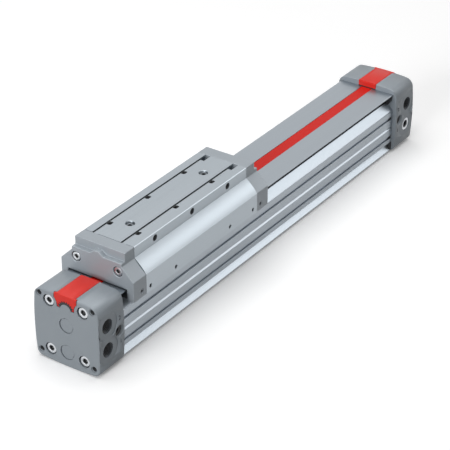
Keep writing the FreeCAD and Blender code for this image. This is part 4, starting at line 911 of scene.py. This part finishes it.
def makeRecessShades(settings):
    # Dark funnels of painted shade around the adjusters, at the bottom of their recesses
    outer, inner = settings["radii"]
    mouth, throat, depth = settings["depths"]
    rings = [("round", outer, -mouth, 1), ("round", outer, -depth, 1), ("round", inner, -depth, 1),
             ("round", inner, -throat, 1)]
    for name, sign in (("Left", -1), ("Right", 1)):
        ring = turnedMesh("ring", rings, closed=True)
        mesh = placed(ring, "-Y", sign * settings["side"], settings["front"], settings["height"])
        addPiece("recessRing" + name, mesh, darkShadeFinish, "cylinder")


digits = {
    "size": 5.0,
    "raise": 0.16,
    "surface": -29.9,
    "places": [("2", -201.6, 39.2), ("1", -200.8, 19.0), ("2", 200.0, 39.2), ("1", 200.0, 19.0)],
}


def makeDigits(settings):
    # The raised digits take the dark finish of painted shade, which makes them read as recessed marks
    for index, (sign, x, z) in enumerate(settings["places"]):
        curve = bpy.data.curves.new("digit", "FONT")
        curve.body = sign
        curve.align_x = "CENTER"
        curve.size = settings["size"] * mm
        curve.extrude = settings["raise"] * mm
        item = linked("digitWork", curve)
        mesh = placed(evaluated(item), "-Y", x, settings["surface"], z)
        bpy.data.objects.remove(item)
        addPiece("portNumber%d" % index, mesh, darkShadeFinish, "cylinder")


makeThreads()
makeRecessShades(recess)
makeDigits(digits)
print("threads cut")

# Black pieces of painted shade in the open corners between the barrel and the caps, liners in the sensor
# grooves with black ends of painted shade, and black strips of painted shade in the gaps beside the slot bars

shades = {
    "upper": [(19.5, 48.15), (25.4, 54.05), (24.8, 49.5), (21.9, 45.7)],
    "lower": [(22.9, 6.8), (26.4, 10.4), (26.4, 3.2)],
    "length": 2.6,
    "barrelEnd": caps["barrelFace"],
}
liners = {
    "heights": (34.2, 15.7),
    "depth": (22.1, 25.0),
    "half": 2.6,
    "length": 388.0,
    "endShade": (2.5, 1.9),       # how far the black end piece of painted shade reaches in and out of the liner's end
    "endShadeProud": 0.25,
}


# Black wedges of painted shade in the deep corners under the lip and at the barrel's foot, next to each cap
def makeCornerShades(settings):
    for name in ("upper", "lower"):
        for sign, side in ((1, "Rear"), (-1, "Front")):
            outline = [(sign * y, z) for y, z in settings[name]]
            for end, way in (("Left", -1), ("Right", 1)):
                outer = way * settings["barrelEnd"]
                inner = way * (settings["barrelEnd"] - settings["length"])
                mesh = extruded("cornerSeal", outline, *sorted((inner, outer)))
                addPiece(name + "Seal" + end + side, mesh, finishes["black_rubber"], "cylinder")


def makeGrooveLiners(settings):
    inner, outer = settings["depth"]
    half, reach = settings["half"], settings["length"] / 2
    inward, outward = settings["endShade"]
    for index, height in enumerate(settings["heights"]):
        for sign, side in ((1, "Rear"), (-1, "Front")):
            outline = rectangle(sign * inner, sign * outer, height - half, height + half)
            mesh = extruded("liner", outline, -reach, reach)
            addPiece("grooveLiner%d%s" % (index, side), mesh, finishes["barrel_aluminium"], "cylinder")
            # Black ends of painted shade, where the grooves run into the caps
            endShadeOutline = [(y + sign * settings["endShadeProud"], z) for y, z in outline]
            for end, way in (("Left", -1), ("Right", 1)):
                low, high = sorted((way * (reach - inward), way * (reach + outward)))
                mesh = extruded("endShade", endShadeOutline, low, high)
                addPiece("grooveStop%d%s%s" % (index, side, end), mesh, finishes["black_rubber"], "cylinder")


# Black strips of painted shade, the shadow in the slot's gap beside each bar
def makeGapShades(settings):
    low, high = settings["gap"]
    floor = settings["top"] - settings["gapDepth"]
    for name, side in (("Front", -1), ("Rear", 1)):
        middle = side * settings["side"]
        outline = rectangle(middle + low, middle + high - settings["gapShadePlay"], floor,
                            floor + settings["gapShadeHeight"])
        mesh = extruded("strip", outline, *settings["strip"])
        addPiece("gapStrip" + name, mesh, finishes["black_rubber"], "carriage")


makeCornerShades(shades)
makeGrooveLiners(liners)
makeGapShades(bars)
print("seals and liners made")

# Floor, light and backdrop

studio = {
    "floorReach": 6.0,        # in m
    "floorBounce": 0.2,       # share of its light that the white floor throws back on the object
    "floorLift": 0.14,        # glow that keeps the far floor white
    "ambient": 0.22,
    "aim": (0, 0, 0.04),
    "overhead": {"place": (0.0, 0.2, 2.1), "size": (2.0, 2.0), "power": 31},
    "front": {"place": (-3.8, 0.0, 1.1), "size": (1.6, 1.6), "power": 86},
    "strip": {"place": (1.75, -1.25, 1.2), "size": (1.3, 0.7), "power": 6.8},
}


def seenBright(tree):    # 1 for the camera's rays and for what shiny or clear surfaces show
    path = addNode(tree, "ShaderNodeLightPath")
    shiny = maths(tree, "ADD", path.outputs["Is Camera Ray"], path.outputs["Is Glossy Ray"])
    return addNode(tree, "ShaderNodeMath", {"operation": "ADD", "use_clamp": True},
                   {0: shiny, 1: path.outputs["Is Transmission Ray"]}).outputs[0]


def makeFloor(settings):
    mesh = bpy.data.meshes.new("floor")
    reach = settings["floorReach"]
    corners = [(x, y, 0) for x, y in rectangle(-reach, reach, -reach, reach)]
    mesh.from_pydata(corners, [], [(0, 1, 2, 3)])
    material, tree, surface, _ = newMaterial(
        "paperSweep", {"Roughness": 0.95, "Specular IOR Level": 0.0, "Emission Color": white})
    bounce = [settings["floorBounce"]] * 3 + [1.0]
    tree.links.new(mixed(tree, seenBright(tree), bounce, white), surface.inputs["Base Color"])
    lift = maths(tree, "MULTIPLY", seenBright(tree), settings["floorLift"])
    tree.links.new(lift, surface.inputs["Emission Strength"])
    mesh.materials.append(material)
    floor = linked("floor", mesh)


def areaLight(name, settings, aim):
    data = bpy.data.lights.new(name, "AREA")
    data.shape = "RECTANGLE"
    data.size, data.size_y = settings["size"]
    data.energy = settings["power"]
    item = linked(name, data)
    item.location = settings["place"]
    item.rotation_euler = (Vector(aim) - Vector(settings["place"])).to_track_quat("-Z", "Y").to_euler()
    return item


def makeWorld(settings):
    world = bpy.data.worlds.new("studio")
    bpy.context.scene.world = world
    world.use_nodes = True
    tree = world.node_tree
    tree.nodes.clear()
    ambient = addNode(tree, "ShaderNodeBackground", {"Color": white, "Strength": settings["ambient"]})
    bright = addNode(tree, "ShaderNodeBackground", {"Color": white, "Strength": 1.0})
    mix = addNode(tree, "ShaderNodeMixShader", {},
                  {0: seenBright(tree), 1: ambient.outputs[0], 2: bright.outputs[0]})
    addNode(tree, "ShaderNodeOutputWorld", {}, {"Surface": mix.outputs[0]})


makeFloor(studio)
makeWorld(studio)
for name in ("overhead", "front"):
    areaLight(name, studio[name], studio["aim"])
strip = areaLight("strip", studio["strip"], studio["aim"])
strip.visible_diffuse = False    # only its reflection shows, along the shoulders
bpy.context.scene.view_settings.view_transform = "Standard"
print("studio lit")
